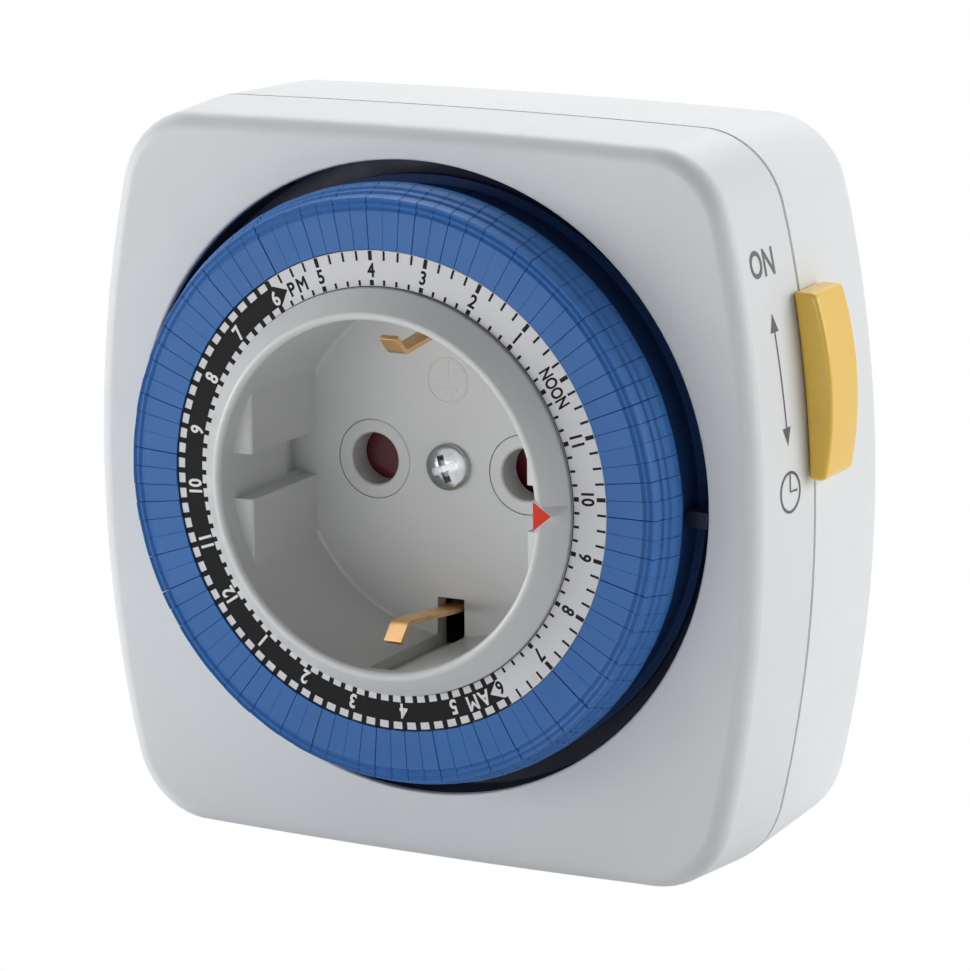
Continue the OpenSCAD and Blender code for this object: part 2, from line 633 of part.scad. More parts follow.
module dial_drum() color(drum_blue) stand() {
    inner = bore_r + 1.35;
    top = z_scale - 0.7;
    rotate_extrude() polygon([
        [bore_r, z_drum], [bore_r, top], [scale_r - 0.05, top], [scale_r - 0.05, z_ledge],
        [stem_r0 - 0.1, z_ledge], [stem_r0 - 0.1, z_ledge - 5.8], [stem_r1 + 0.1, z_ledge - 5.8],
        [stem_r1 + 0.1, z_ledge], [ring_r - skirt_t - 0.2, z_ledge],
        [ring_r - skirt_t - 0.2, z_flange + 0.7], [ring_r - 0.1, z_flange + 0.7],
        [ring_r - 0.1, z_flange], [dial_pitch_r - 0.9, z_flange],
        [dial_pitch_r - 0.9, z_drum], [stem_r0 - 1.3, z_drum], [stem_r0 - 1.3, z_ledge - 1.2],
        [scale_r - 1.2, z_ledge - 1.2], [scale_r - 1.2, top - 1.2], [inner, top - 1.2], [inner, z_drum]]);
    difference() {
        gear(dial_module, dial_teeth, z_drum, gear_face, steps = 1);
        disc(dial_pitch_r - 1.2, z_drum - 1, z_drum + gear_face + 1);
    }
    for (i = [0 : tappet_count - 1]) rotate([0, 0, midnight + tappet_pitch * i])
        block([stem_r0 - 0.2, -rib_w / 2, z_ledge - 5.9], [stem_r1 + 0.2, rib_w / 2, z_ledge - 0.4]);
}

module scale_ring() color("white") stand() washer(scale_r, bore_r, z_scale - 0.7, z_scale);

// section of a tappet: flat head, two finger grooves, steep shoulder and ridged skirt
function tappet_section() = [
    [scale_r + 0.1, z_ring - head_t], [scale_r + 0.1, z_ring], [ring_r - 2.6, z_ring],
    [ring_r - 2.4, z_ring - 0.25], [ring_r - 2.25, z_ring - 0.25], [ring_r - 2.05, z_ring],
    [ring_r - 1.9, z_ring], [ring_r - 1.7, z_ring - 0.25], [ring_r - 1.55, z_ring - 0.25],
    [ring_r - 1.35, z_ring - 0.02], [ring_r - 1.15, z_ring - 0.2], [ring_r - 0.85, z_ring - 0.7],
    [ring_r - 0.4, z_ring - 1.6], [ring_r - 0.1, z_ring - 2.3], [ring_r, z_ring - 2.7],
    [ring_r - 0.3, z_ring - 2.9], [ring_r - 0.3, z_ring - 3.2], [ring_r, z_ring - 3.4],
    [ring_r, z_ring - 4.4], [ring_r - 0.3, z_ring - skirt_h], [ring_r - skirt_t, z_ring - skirt_h],
    [ring_r - skirt_t, z_ring - head_t]];

module tappet() {
    sweep = tappet_pitch - tappet_gap / ring_r * 180 / PI;
    rotate([0, 0, -sweep / 2]) rotate_extrude(angle = sweep) polygon(tappet_section());
    block([stem_r0, -stem_w / 2, z_ring - stem_l], [stem_r1, stem_w / 2, z_ring - head_t + 0.2]);
}

module hour_of_tappets(h) color(tappet_blue) stand()
    for (q = [0 : per_hour - 1]) rotate([0, 0, midnight + 15 * h + tappet_pitch * (q + 0.5)]) tappet();

// ---- switch ----

module override_slider() color([0.93, 0.78, 0.30]) stand() {
    mid = slider_y0 + slider_len / 2 - 2.3;
    at = [casing_w / 2 + slider_rise - 0.2 - crown_r, mid];
    face = [side_at[0], -axis_rise];
    // grip: a crowned bar whose back follows the casing's side
    translate([0, 0, z_slider - slider_w]) linear_extrude(slider_w) difference() {
        offset(r = 1, $fn = 24) offset(delta = -1) intersection() {
            translate(at) circle(crown_r, $fn = 180);
            translate([casing_w / 2 - 6, slider_y0]) square([20, slider_len]);
        }
        translate(face) circle(side_r + 0.12, $fn = 360);
    }
    // stem through the slot, and the curved plate that keeps it in
    translate([0, 0, stem_z0]) linear_extrude(z_seam - 0.2 - stem_z0) difference() {
        translate([casing_w / 2 - 8, slot_y0]) square([8.5, slot_y1 - slot_y0]);
        translate(face) circle(side_r - wall - 2.9, $fn = 360);
    }
    translate([0, 0, stem_z0 - 1.6]) linear_extrude(z_seam - 0.2 - stem_z0 + 1.6) intersection() {
        translate([casing_w / 2 - 10, slot_y0 - 1.5]) square([10, slot_y1 - slot_y0 + 3]);
        difference() {
            translate(face) circle(side_r - wall - 1.7, $fn = 360);
            translate(face) circle(side_r - wall - 2.9, $fn = 360);
        }
    }
}

nose_top = z_ring - skirt_h - nose_gap;

module switch_plunger() color(slate) stand() rotate([0, 0, acting_angle]) {
    block([ring_r - skirt_t + 0.25, -0.9, nose_top - 2.1], [ring_r + 1.8, 0.9, nose_top]);
    block([ring_r + 0.2, -0.9, z_deck + nose_travel + 0.6], [opening_r + 2.9, 0.9, z_face - wall - 0.2]);
    block([opening_r + 1.3, -1.5, z_leaf + 1.2], [opening_r + 2.9, 1.5, z_face - wall - 0.2]);
    block([leaf_x - 1, -0.6, z_leaf + leaf_t / 2 + 0.02], [opening_r + 2.9, 0.6, z_leaf + 1.6]);
}

button_r = 1.2;
button_h = 0.5;

module moving_contact() color(brass) stand() {
    strip_yz([[leaf_root - 1.5, z_leaf], [1.6, z_leaf]], leaf_t, 2.6, leaf_x);
    translate([leaf_x, 0]) disc(button_r, z_leaf - leaf_t / 2 - button_h, z_leaf);
}

z_fixed = z_leaf - leaf_t / 2 - 2 * button_h - 0.2 - contact_gap;

module fixed_contact() color(brass) stand() {
    strip_xz([[leaf_x + 1.4, z_fixed], [housing_x + 5, z_fixed], [housing_x + 5, z_fork + 1.3],
        [pin_x + fork_w / 2 + 0.05, z_fork + 1.3]], 0.4, 2.6);
    translate([leaf_x, 0]) disc(button_r, z_fixed, z_fixed + 0.2 + button_h);
}

module live_busbar() color(brass) stand() {
    z_run = z_base + 1.1;
    z_stub = plug_len + 0.05;
    strip_yz([[2, z_stub], [-5, z_stub], [-6.3, z_run], [leaf_root + 1, z_run]], 0.5, 3, pin_x);
    strip_xz([[pin_x - 1.5, z_run], [leaf_x - 1.8, z_run], [leaf_x - 1.8, z_leaf - 0.4],
        [leaf_x + 1.2, z_leaf - 0.4]], 0.5, 3, leaf_root);
}

// ---- motor ----

can_t = 0.7;
magnet_r = 5.5;
claw_count = 8;
bobbin_r0 = magnet_r + 1.5;
bobbin_r1 = motor_r - can_t - 0.3;
z_can = z_motor + motor_h;

// pole claws: tongues that rise between the rotor and the bobbin
module claws(z0, z1, turn) for (k = [0 : claw_count - 1]) rotate([0, 0, turn + 360 * k / claw_count])
    block([magnet_r + 0.45, -0.8, z0], [magnet_r + 1.15, 0.8, z1]);

module motor_can() color(steel) stand() translate(rotor_at) {
    difference() {
        disc(motor_r, z_motor, z_can - can_t);
        disc(motor_r - can_t, z_motor + can_t, z_can);
        disc(spindle_r + fit, z_motor - 1, z_can);
    }
    claws(z_motor + can_t - eps, z_can - 2.6, 0);
}

module pole_plate() color(steel) stand() translate(rotor_at) {
    washer(motor_r, spindle_r + fit, z_can - can_t, z_can);
    claws(z_motor + 2.6, z_can - can_t + eps, 180 / claw_count);
}

module coil_bobbin() color(natural) stand() translate(rotor_at) {
    z0 = z_motor + can_t + 0.2;
    z1 = z_can - can_t - 0.2;
    washer(bobbin_r0 + 0.6, bobbin_r0, z0, z1);
    washer(bobbin_r1, bobbin_r0, z0, z0 + 0.6);
    washer(bobbin_r1, bobbin_r0, z1 - 0.6, z1);
}

module coil_winding() color(copper) stand() translate(rotor_at)
    washer(bobbin_r1 - 0.4, bobbin_r0 + 0.65, z_motor + can_t + 0.85, z_can - can_t - 0.85);

module rotor() color([0.25, 0.24, 0.26]) stand() translate(rotor_at) {
    disc(magnet_r, z_motor + 1.3, z_can - 1.5);
    disc(spindle_r, z_motor + 0.1, layer(0) + 1);
    gear(train_module, pinion_teeth, layer(0) - 0.1, pinion_h - 0.1);
}

// ---- gear train ----

module compound_gear(at, i, turn) color(natural) stand() translate(at) rotate([0, 0, turn]) difference() {
    union() {
        gear(train_module, wheel_teeth, layer(i), wheel_t, steps = 2);
        gear(train_module, pinion_teeth, layer(i) + wheel_t - eps, pinion_h);
        disc(1.2, z_gears + gear_plate_t + 0.05, layer(i) + eps);
    }
    disc(spindle_r + fit, z_gears, z_drum);
}

// the clutch gear's split hub grips the drive pinion's sleeve and slips when the dial is set by hand
module clutch_gear() color(natural) stand() translate(drive_at) rotate([0, 0, turn_4]) difference() {
    union() {
        gear(train_module, wheel_teeth, layer(3), wheel_t, steps = 2);
        disc(1.2, z_gears + gear_plate_t + 0.05, layer(3) + eps);
        disc(3.2, layer(3), layer(3) + wheel_t + 0.9);
    }
    disc(spindle_r + fit, z_gears, z_plate);
    disc(2.2 + fit, layer(3) + 0.4, z_plate);
    for (a = [0, 90]) rotate([0, 0, a]) block([-4, -0.25, layer(3) + wheel_t + 0.1], [4, 0.25, z_plate]);
}

module drive_pinion() color(natural) stand() translate(drive_at) rotate([0, 0, turn_drive]) difference() {
    union() {
        disc(2.2, layer(3) + 0.5, z_drum + 0.1);
        gear(dial_module, pinion_teeth, z_drum, gear_face);
    }
    disc(spindle_r + fit, z_gears, z_face);
}

module gear_spindles() color(steel) stand() {
    for (p = [gear1_at, gear2_at, gear3_at]) translate(p) disc(spindle_r, z_gears, z_bridge + bridge_t);
    translate(drive_at) disc(spindle_r, z_gears, z_plate + 0.9);
}

BRIDGE_POSTS = [bridge_foot, grid(gear1_at + [-9.1, 9.6])];
bridge_post_r = 1.5;

module gear_plate() color(steel) stand() difference() {
    union() {
        translate([0, 0, z_gears]) linear_extrude(gear_plate_t) hull()
            for (p = concat([gear1_at, gear2_at, gear3_at, drive_at, rotor_at], BRIDGE_POSTS))
                translate(p) circle(3, $fn = 32);
        for (p = BRIDGE_POSTS) translate(p) disc(bridge_post_r, z_gears + eps, z_bridge);
    }
    for (p = [gear1_at, gear2_at, gear3_at, drive_at]) translate(p)
        disc(spindle_r + 0.01, z_gears - 1, z_gears + 2);
    translate(rotor_at) disc(2, z_gears - 1, z_gears + 2);
    block([-housing_x - 0.6, -housing_y - 0.6, z_gears - 1], [0, housing_y + 0.6, z_gears + 2]);
}

module gear_bridge() color(steel) stand() difference() {
    translate([0, 0, z_bridge]) linear_extrude(bridge_t) hull()
        for (p = concat([gear1_at, gear2_at, gear3_at], BRIDGE_POSTS)) translate(p) circle(2.2, $fn = 32);
    for (p = [gear1_at, gear2_at, gear3_at]) translate(p)
        disc(spindle_r + 0.01, z_bridge - 1, z_bridge + 2);
}

front_cover();
rear_cover();
casing_screws();
socket_well();
contact_carrier();
contact_housing();
shutter();
shutter_spring();
centre_screw();
socket_contacts();
plug_insert();
earth_clips();
plug_earth_strips();
plug_pin(pin_x, plug_len - 0.25);  // live_pin
plug_pin(-pin_x, z_fork - fork_t / 2 - 0.02);  // neutral_pin
dial_surround();
dial_drum();
scale_ring();
override_slider();
switch_plunger();
moving_contact();
fixed_contact();
live_busbar();
motor_can();
pole_plate();
coil_bobbin();
coil_winding();
rotor();
compound_gear(gear1_at, 0, turn_1);  // gear_1
compound_gear(gear2_at, 1, turn_2);  // gear_2
compound_gear(gear3_at, 2, turn_3);  // gear_3
clutch_gear();
drive_pinion();
gear_spindles();
gear_plate();
gear_bridge();
for (h = [0 : hours - 1]) hour_of_tappets(h);
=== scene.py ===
import json
import math
import random

import bpy
from mathutils import Matrix, Vector


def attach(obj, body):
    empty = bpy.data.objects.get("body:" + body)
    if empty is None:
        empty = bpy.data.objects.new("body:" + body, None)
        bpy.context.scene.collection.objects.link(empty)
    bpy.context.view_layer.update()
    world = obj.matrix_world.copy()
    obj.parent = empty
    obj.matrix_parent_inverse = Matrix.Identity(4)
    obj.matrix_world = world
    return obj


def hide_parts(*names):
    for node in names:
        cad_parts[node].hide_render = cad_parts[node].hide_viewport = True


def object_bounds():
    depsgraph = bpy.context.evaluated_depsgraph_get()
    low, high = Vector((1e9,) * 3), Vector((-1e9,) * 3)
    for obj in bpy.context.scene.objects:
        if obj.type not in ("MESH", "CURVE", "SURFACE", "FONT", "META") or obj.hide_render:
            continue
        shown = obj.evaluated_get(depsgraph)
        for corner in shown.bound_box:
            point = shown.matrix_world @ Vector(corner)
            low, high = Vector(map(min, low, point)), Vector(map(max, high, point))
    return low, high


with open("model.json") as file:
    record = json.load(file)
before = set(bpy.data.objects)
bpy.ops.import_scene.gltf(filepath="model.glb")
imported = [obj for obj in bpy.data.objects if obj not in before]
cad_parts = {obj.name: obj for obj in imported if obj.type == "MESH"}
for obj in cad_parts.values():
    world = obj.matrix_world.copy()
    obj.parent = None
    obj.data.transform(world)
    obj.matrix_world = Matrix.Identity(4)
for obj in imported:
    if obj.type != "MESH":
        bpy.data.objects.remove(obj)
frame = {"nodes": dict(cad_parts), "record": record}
cad_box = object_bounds()

# ---- front cover ----
# The front half of the casing, moulded in light grey ABS with a fine satin texture: a rounded
# square with bulged sides, drafted walls and a round opening for the dial. Four screws from the
# back hold it on the rear cover.

# Every piece is modelled in millimetres as it lies on its plug: x right, y to the top of the
# dial, z out of the wall. STAND_UP then turns it upright and scales it to metres.
STAND_UP = Matrix.Scale(0.001, 4) @ Matrix.Rotation(math.radians(90), 4, "X")

CASING_W, CASING_H = 84.6, 83.0
AXIS_RISE = 2.0
SIDE_R, TOP_R, CORNER_R, EDGE_R = 146.0, 1200.0, 10.0, 1.9
SIDE_STEPS, TOP_STEPS, CORNER_STEPS, EDGE_STEPS = 24, 20, 14, 10
CORNER_AT = (28.6059, 31.1978)
DRAFT = math.radians(2.2)
WALL = 2.0
Z_BACK, Z_SEAM, Z_FACE = 17.5, 37.0, 49.0
OPENING_R, OPENING_EDGE, OPENING_BEVEL = 35.4, 0.8, 0.3
COLLAR_CLEAR_R = 36.45
SIDE_LEAN, LEAN_FROM_R = 0.8, COLLAR_CLEAR_R + 0.5

# Cutting tools reach PAST what they cut. A corner lies on a level that is within ON_LEVEL or
# NEAR_LEVEL of it, corners within WELD of each other are merged, and a face looks along an axis
# when its normal goes more than FACING along it.
PAST = 1.0
ON_LEVEL, NEAR_LEVEL, WELD, FACING = 1e-3, 0.05, 1e-4, 0.9


def named(name):
    """The new primitive under its name, with its place moved into its mesh."""
    piece = bpy.context.object
    piece.name = piece.data.name = name
    bpy.ops.object.transform_apply(location=True, rotation=True, scale=True)
    return piece


def clear():
    """Object mode, with nothing selected."""
    if bpy.context.object and bpy.context.object.mode == "EDIT":
        bpy.ops.object.mode_set(mode="OBJECT")
    bpy.ops.object.select_all(action="DESELECT")


def alone(piece):
    """Object mode, with only this piece selected."""
    clear()
    piece.select_set(True)
    bpy.context.view_layer.objects.active = piece


def edit(piece):
    """Edit mode, with the whole of the piece selected."""
    alone(piece)
    bpy.ops.object.mode_set(mode="EDIT")
    bpy.ops.mesh.select_all(action="SELECT")


def outwards(piece, weld=False):
    """Turns all faces outwards, after the corners that meet are merged where weld says so."""
    edit(piece)
    if weld:
        bpy.ops.mesh.remove_doubles(threshold=WELD)
    bpy.ops.mesh.normals_make_consistent(inside=False)
    bpy.ops.object.mode_set(mode="OBJECT")


def choose(piece, kind, test):
    """Selects, in edit mode, the corners, edges or faces that pass the test.
    An edge passes when both its ends do; a face is tested by its middle and its normal."""
    alone(piece)
    bpy.ops.object.mode_set(mode="EDIT")
    bpy.ops.mesh.select_mode(type=kind)
    bpy.ops.mesh.select_all(action="DESELECT")
    bpy.ops.object.mode_set(mode="OBJECT")
    mesh = piece.data
    if kind == "VERT":
        for corner in mesh.vertices:
            corner.select = test(corner.co)
    elif kind == "EDGE":
        for edge in mesh.edges:
            edge.select = all(test(mesh.vertices[i].co) for i in edge.vertices)
    else:
        for face in mesh.polygons:
            face.select = test(face.center, face.normal)
    bpy.ops.object.mode_set(mode="EDIT")


def apply_modifier(piece, kind, **settings):
    alone(piece)
    modifier = piece.modifiers.new("work", kind)
    for setting, value in settings.items():
        setattr(modifier, setting, value)
    bpy.ops.object.modifier_apply(modifier=modifier.name)


def combine(piece, tool, how="DIFFERENCE"):
    """Cuts the tool from the piece, or adds it, and uses it up."""
    apply_modifier(piece, "BOOLEAN", operation=how, object=tool, solver="EXACT")
    bpy.data.objects.remove(tool)


def joined(name, pieces):
    """The pieces as one, under a new name."""
    alone(pieces[0])
    for piece in pieces[1:]:
        piece.select_set(True)
    bpy.ops.object.join()
    pieces[0].name = pieces[0].data.name = name
    return pieces[0]


def rod(name, radius, low, high, at=(0, 0), vertices=96):
    """A cylinder along the dial's axis, from one height to another."""
    clear()
    bpy.ops.mesh.primitive_cylinder_add(
        radius=radius, depth=high - low, vertices=vertices,
        location=(at[0], at[1], (low + high) / 2))
    return named(name)


def block(name, low, high):
    """A box between its lowest and its highest corner."""
    clear()
    middle = [(a + b) / 2 for a, b in zip(low, high)]
    bpy.ops.mesh.primitive_cube_add(
        size=1, location=middle, scale=[b - a for a, b in zip(low, high)])
    return named(name)


def ngon(name, points):
    """A flat face whose corners lie on the given points, listed anticlockwise."""
    clear()
    bpy.ops.mesh.primitive_circle_add(vertices=len(points), radius=1, fill_type="NGON")
    face = named(name)
    for corner, point in zip(face.data.vertices, points):
        corner.co = point
    face.data.update()
    return face


def bevel_edges(piece, width, segments, sharper_than):
    apply_modifier(piece, "BEVEL", width=width, segments=segments, limit_method="ANGLE",
                   angle_limit=math.radians(sharper_than))


def smooth(piece, angle=30):
    """Smooth shading that keeps the flat faces flat and the edges crisp."""
    alone(piece)
    bpy.ops.object.shade_smooth_by_angle(angle=math.radians(angle))
    apply_modifier(piece, "WEIGHTED_NORMAL", keep_sharp=True, weight=60)


def finish(piece, body, slot, material, *nodes):
    """Stands the piece up in the frame, with its material and what it rides on and replaces."""
    alone(piece)
    piece.data.transform(STAND_UP)
    piece.data.update()
    piece.data.materials.clear()
    piece.data.materials.append(material)
    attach(piece, body)
    if nodes:
        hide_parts(*nodes)


def polar(radius, angle):
    """The place at an angle, in degrees anticlockwise from the right."""
    return radius * math.cos(math.radians(angle)), radius * math.sin(math.radians(angle))


def arc(centre, radius, start, end, count):
    """Points along an arc of count steps, with both its ends."""
    spokes = [polar(radius, start + (end - start) * i / count) for i in range(count + 1)]
    return [(centre[0] + x, centre[1] + y) for x, y in spokes]


def casing_outline():
    """Corners of the casing's outline at the seam, round its own middle, anticlockwise."""
    side = math.degrees(math.atan2(CORNER_AT[1], CORNER_AT[0] + SIDE_R - CASING_W / 2))
    top = math.degrees(math.atan2(CORNER_AT[1] + TOP_R - CASING_H / 2, CORNER_AT[0]))
    half = []
    for centre, radius, start, end, count in (
            ((CASING_W / 2 - SIDE_R, 0), SIDE_R, -side, side, SIDE_STEPS),
            (CORNER_AT, CORNER_R, side, top, CORNER_STEPS),
            ((0, CASING_H / 2 - TOP_R), TOP_R, top, 180 - top, TOP_STEPS),
            ((-CORNER_AT[0], CORNER_AT[1]), CORNER_R, 180 - top, 180 - side, CORNER_STEPS)):
        half += arc(centre, radius, start, end, count)[:-1]
    return half + [(-x, -y) for x, y in half]


def casing_half(name, z_open, z_end, hole_r):
    """One cover: the outline inset step by step up the drafted wall and round the edge, then
    bridged to a round hole in the middle of the face and given its wall."""
    points = casing_outline()
    cover = ngon(name, [(x, y - AXIS_RISE, z_open) for x, y in points])
    out = 1 if z_end > z_open else -1
    edit(cover)
    if out < 0:
        bpy.ops.mesh.flip_normals()
    z, inset = z_open, 0
    for step in range(EDGE_STEPS + 1):
        turn = math.radians(90 * step / EDGE_STEPS)
        z_next = z_end - out * EDGE_R * (1 - math.sin(turn))
        inset_next = abs(z_next - Z_SEAM) * math.tan(DRAFT) + EDGE_R * (1 - math.cos(turn))
        bpy.ops.mesh.inset(
            thickness=inset_next - inset, depth=abs(z_next - z), use_even_offset=True)
        z, inset = z_next, inset_next
    bpy.ops.mesh.delete(type="ONLY_FACE")
    bpy.ops.mesh.primitive_circle_add(
        vertices=len(points), radius=hole_r, location=(0, 0, z_end))
    choose(cover, "EDGE", lambda p: abs(p.z - z_end) < ON_LEVEL)
    bpy.ops.mesh.bridge_edge_loops()
    outwards(cover)
    largest = max(cover.data.polygons, key=lambda face: face.area)
    if largest.normal.z * out < 0:
        edit(cover)
        bpy.ops.mesh.flip_normals()
        bpy.ops.object.mode_set(mode="OBJECT")
    apply_modifier(cover, "SOLIDIFY", thickness=WALL, offset=-1, use_even_offset=True)
    for corner in cover.data.vertices:
        if abs(corner.co.z - z_open) < WALL / 10:
            corner.co.z = z_open
    return cover


def side_lean(z):
    """How far the front cover narrows from its seam to the height z, as a factor."""
    return 1 - SIDE_LEAN / (CASING_W / 2) * (z - Z_SEAM) / (Z_FACE - Z_SEAM)


def linear(colour):
    """An sRGB colour, 0 to 255, as a shader takes it."""
    return [(c / 12.92 if c <= 0.04045 else ((c + 0.055) / 1.055) ** 2.4) for c in
            (v / 255 for v in colour)] + [1]


def new_finish(name):
    """A new material, its node tree, its shader and the place that its patterns read."""
    material = bpy.data.materials.new(name)
    material.use_nodes = True
    tree = material.node_tree
    place = tree.nodes.new("ShaderNodeTexCoord").outputs["Object"]
    return material, tree, tree.nodes["Principled BSDF"], place


def noise(tree, place, scale, detail):
    node = tree.nodes.new("ShaderNodeTexNoise")
    node.inputs["Scale"].default_value = scale
    node.inputs["Detail"].default_value = detail
    tree.links.new(place, node.inputs["Vector"])
    return node.outputs["Fac"]


def spread(tree, value, start, end, low, high):
    """Turns a value that goes from start to end into one that goes from low to high."""
    node = tree.nodes.new("ShaderNodeMapRange")
    node.inputs["From Min"].default_value = start
    node.inputs["From Max"].default_value = end
    node.inputs["To Min"].default_value = low
    node.inputs["To Max"].default_value = high
    tree.links.new(value, node.inputs["Value"])
    return node.outputs["Result"]


def colour_between(tree, shader, amount, colour, tint):
    node = tree.nodes.new("ShaderNodeMix")
    node.data_type = "RGBA"
    node.inputs["A"].default_value = linear(colour)
    node.inputs["B"].default_value = linear(tint)
    tree.links.new(amount, node.inputs["Factor"])
    tree.links.new(node.outputs["Result"], shader.inputs["Base Color"])


def rough_to_touch(tree, shader, height, strength, distance):
    node = tree.nodes.new("ShaderNodeBump")
    node.inputs["Strength"].default_value = strength
    node.inputs["Distance"].default_value = distance
    tree.links.new(height, node.inputs["Height"])
    tree.links.new(node.outputs["Normal"], shader.inputs["Normal"])


# Blender's noise seldom leaves this range.
NOISE_LOW, NOISE_HIGH = 0.3, 0.7


def moulded(name, colour, roughness, grain=0.35, depth=0.012, mottle=0.02, tint=None,
            coat=0.0, gloss=0.5):
    """Moulded plastic: a fine texture of grain millimetres and depth millimetres, with a faint
    cloudiness in its colour and gloss."""
    material, tree, shader, place = new_finish(name)
    shader.inputs["IOR"].default_value = 1.5
    shader.inputs["Specular IOR Level"].default_value = gloss
    shader.inputs["Coat Weight"].default_value = coat
    shader.inputs["Coat Roughness"].default_value = 0.12
    clouds = noise(tree, place, scale=70, detail=3.0)
    colour_between(tree, shader, spread(tree, clouds, NOISE_LOW, NOISE_HIGH, 0, mottle * 10),
                   colour, tint or [c * 0.94 for c in colour])
    gloss_marks = noise(tree, place, scale=260, detail=3.0)
    uneven = spread(tree, gloss_marks, NOISE_LOW, NOISE_HIGH, roughness - 0.04, roughness + 0.05)
    tree.links.new(uneven, shader.inputs["Roughness"])
    texture = noise(tree, place, scale=1000 / grain, detail=2.0)
    rough_to_touch(tree, shader, texture, strength=0.5, distance=depth * 0.001)
    return material


CASING_PLASTIC = moulded("casing_plastic", (226, 229, 231), 0.48, gloss=0.4)

front = casing_half("front_cover_shell", Z_SEAM, Z_FACE, OPENING_R)
for corner in front.data.vertices:
    if corner.co.xy.length > LEAN_FROM_R:
        corner.co.x *= side_lean(corner.co.z)
combine(front, rod("counterbore", COLLAR_CLEAR_R, Z_SEAM - PAST, Z_FACE - OPENING_EDGE,
                   vertices=144))
choose(front, "EDGE", lambda p: (abs(p.z - Z_FACE) < ON_LEVEL
                                 and abs(p.xy.length - OPENING_R) < NEAR_LEVEL))
bpy.ops.mesh.bevel(offset=OPENING_BEVEL, segments=3, profile=0.5)
smooth(front)
finish(front, "case", "casing", CASING_PLASTIC, "front_cover")

# ---- rear cover ----
# The rear half of the casing, moulded in the same grey ABS. A fine shadow groove runs along the
# seam, and four counterbored posts take the screws.

GROOVE_W, GROOVE_IN = 0.55, 0.35
PLUG_HOLE_R = 18.65
POST_IN = 1.5
POST_R, HEAD_HOLE_R, SHANK_HOLE_R, HEAD_DEPTH = 4.2, 3.15, 1.6, 6.0
POSTS = [(sx * (CORNER_AT[0] + POST_IN), sy * (CORNER_AT[1] + POST_IN) - AXIS_RISE)
         for sx in (-1, 1) for sy in (-1, 1)]
STEM_SLOT = ((29.5, 7.3, 33), (CASING_W, 22.2, Z_SEAM + PAST))

rear = casing_half("rear_cover_shell", Z_SEAM - GROOVE_W, Z_BACK, PLUG_HOLE_R)
choose(rear, "FACE", lambda c, n: n.z > FACING and abs(c.z - Z_SEAM + GROOVE_W) < NEAR_LEVEL)
bpy.ops.mesh.inset(thickness=GROOVE_IN, use_even_offset=True)
bpy.ops.mesh.extrude_region_move(TRANSFORM_OT_translate={"value": (0, 0, GROOVE_W)})
for post in POSTS:
    combine(rear, rod("post", POST_R, Z_BACK + WALL / 2, Z_SEAM, post, vertices=48), "UNION")
for post in POSTS:
    combine(rear, rod("head_hole", HEAD_HOLE_R, Z_BACK - PAST, Z_BACK + HEAD_DEPTH, post,
                      vertices=48))
    combine(rear, rod("shank_hole", SHANK_HOLE_R, Z_BACK + PAST, Z_SEAM + PAST, post,
                      vertices=32))
combine(rear, block("stem_slot", *STEM_SLOT))
smooth(rear)
finish(rear, "case", "casing", CASING_PLASTIC, "rear_cover")

# ---- socket well ----
# The round cup in the middle of the front, moulded in one piece: a sloping rim with a rounded
# lip, a guide flat with a groove on each side, channels for the earth clips and a raised pointer.

WELL_R, TUBE_R, RIM_R = 19.4, 21.9, 22.55
Z_UNDER, Z_FLOOR, Z_SCALE, Z_LIP = 39.25, 41.25, 55.3, 58.5
Z_RIM = Z_SCALE + 0.28
RIM_ROUND, LIP_ROUND, FLOOR_ROUND, CREST_SINK = 0.35, 0.6, 0.4, 0.2
GUIDE_FLAT, GUIDE_W, GUIDE_DROP, PAD_OVER = 17.0, 20.0, 3.4, 0.3
SLIT_HALF, SLIT_IN, SLIT_DROP = 2.55, 2, 0.5
POCKET_HALF, POCKET_OUT, POCKET_RISE = 2.3, 0.9, 2.6
PIN_X, BOSS_R, PIN_HOLE_R = 9.5, 4.5, 2.95
SCREW_R = 1.45
BOSS_PLAY, SCREW_PLAY = 0.05, 0.15
EARTH_R, CLIP_W, CLIP_ROOM = 16.3, 2.2, 0.6
CLIP_NEAR, CLIP_DROP = 1.3, 1.6
CLIP_REACH, RELIEF_REACH, RELIEF_W = WELL_R + 1.3, WELL_R + 2, 0.35
POINTER_HALF, POINTER_FOOT_HALF = 1.65, 1.2


def turned(name, profile, steps=128):
    """A turned piece: its half section, listed as radius and height, spun round the axis."""
    piece = ngon(name, [(r, 0, z) for r, z in profile])
    edit(piece)
    bpy.ops.mesh.delete(type="ONLY_FACE")
    bpy.ops.mesh.select_all(action="SELECT")
    bpy.ops.mesh.spin(steps=steps, angle=math.tau, center=(0, 0, 0), axis=(0, 0, 1))
    bpy.ops.mesh.select_all(action="SELECT")
    bpy.ops.mesh.remove_doubles(threshold=WELD)
    bpy.ops.mesh.delete_loose(use_verts=True, use_edges=True, use_faces=False)
    outwards(piece)
    return piece


def prism(name, points, step):
    """A flat face through the points, extruded by step."""
    piece = ngon(name, points)
    edit(piece)
    bpy.ops.mesh.extrude_region_move(TRANSFORM_OT_translate={"value": step})
    outwards(piece)
    return piece


WELL_PLASTIC = moulded("well_plastic", (212, 214, 214), 0.34, grain=0.9, depth=0.003,
                       mottle=0.01)

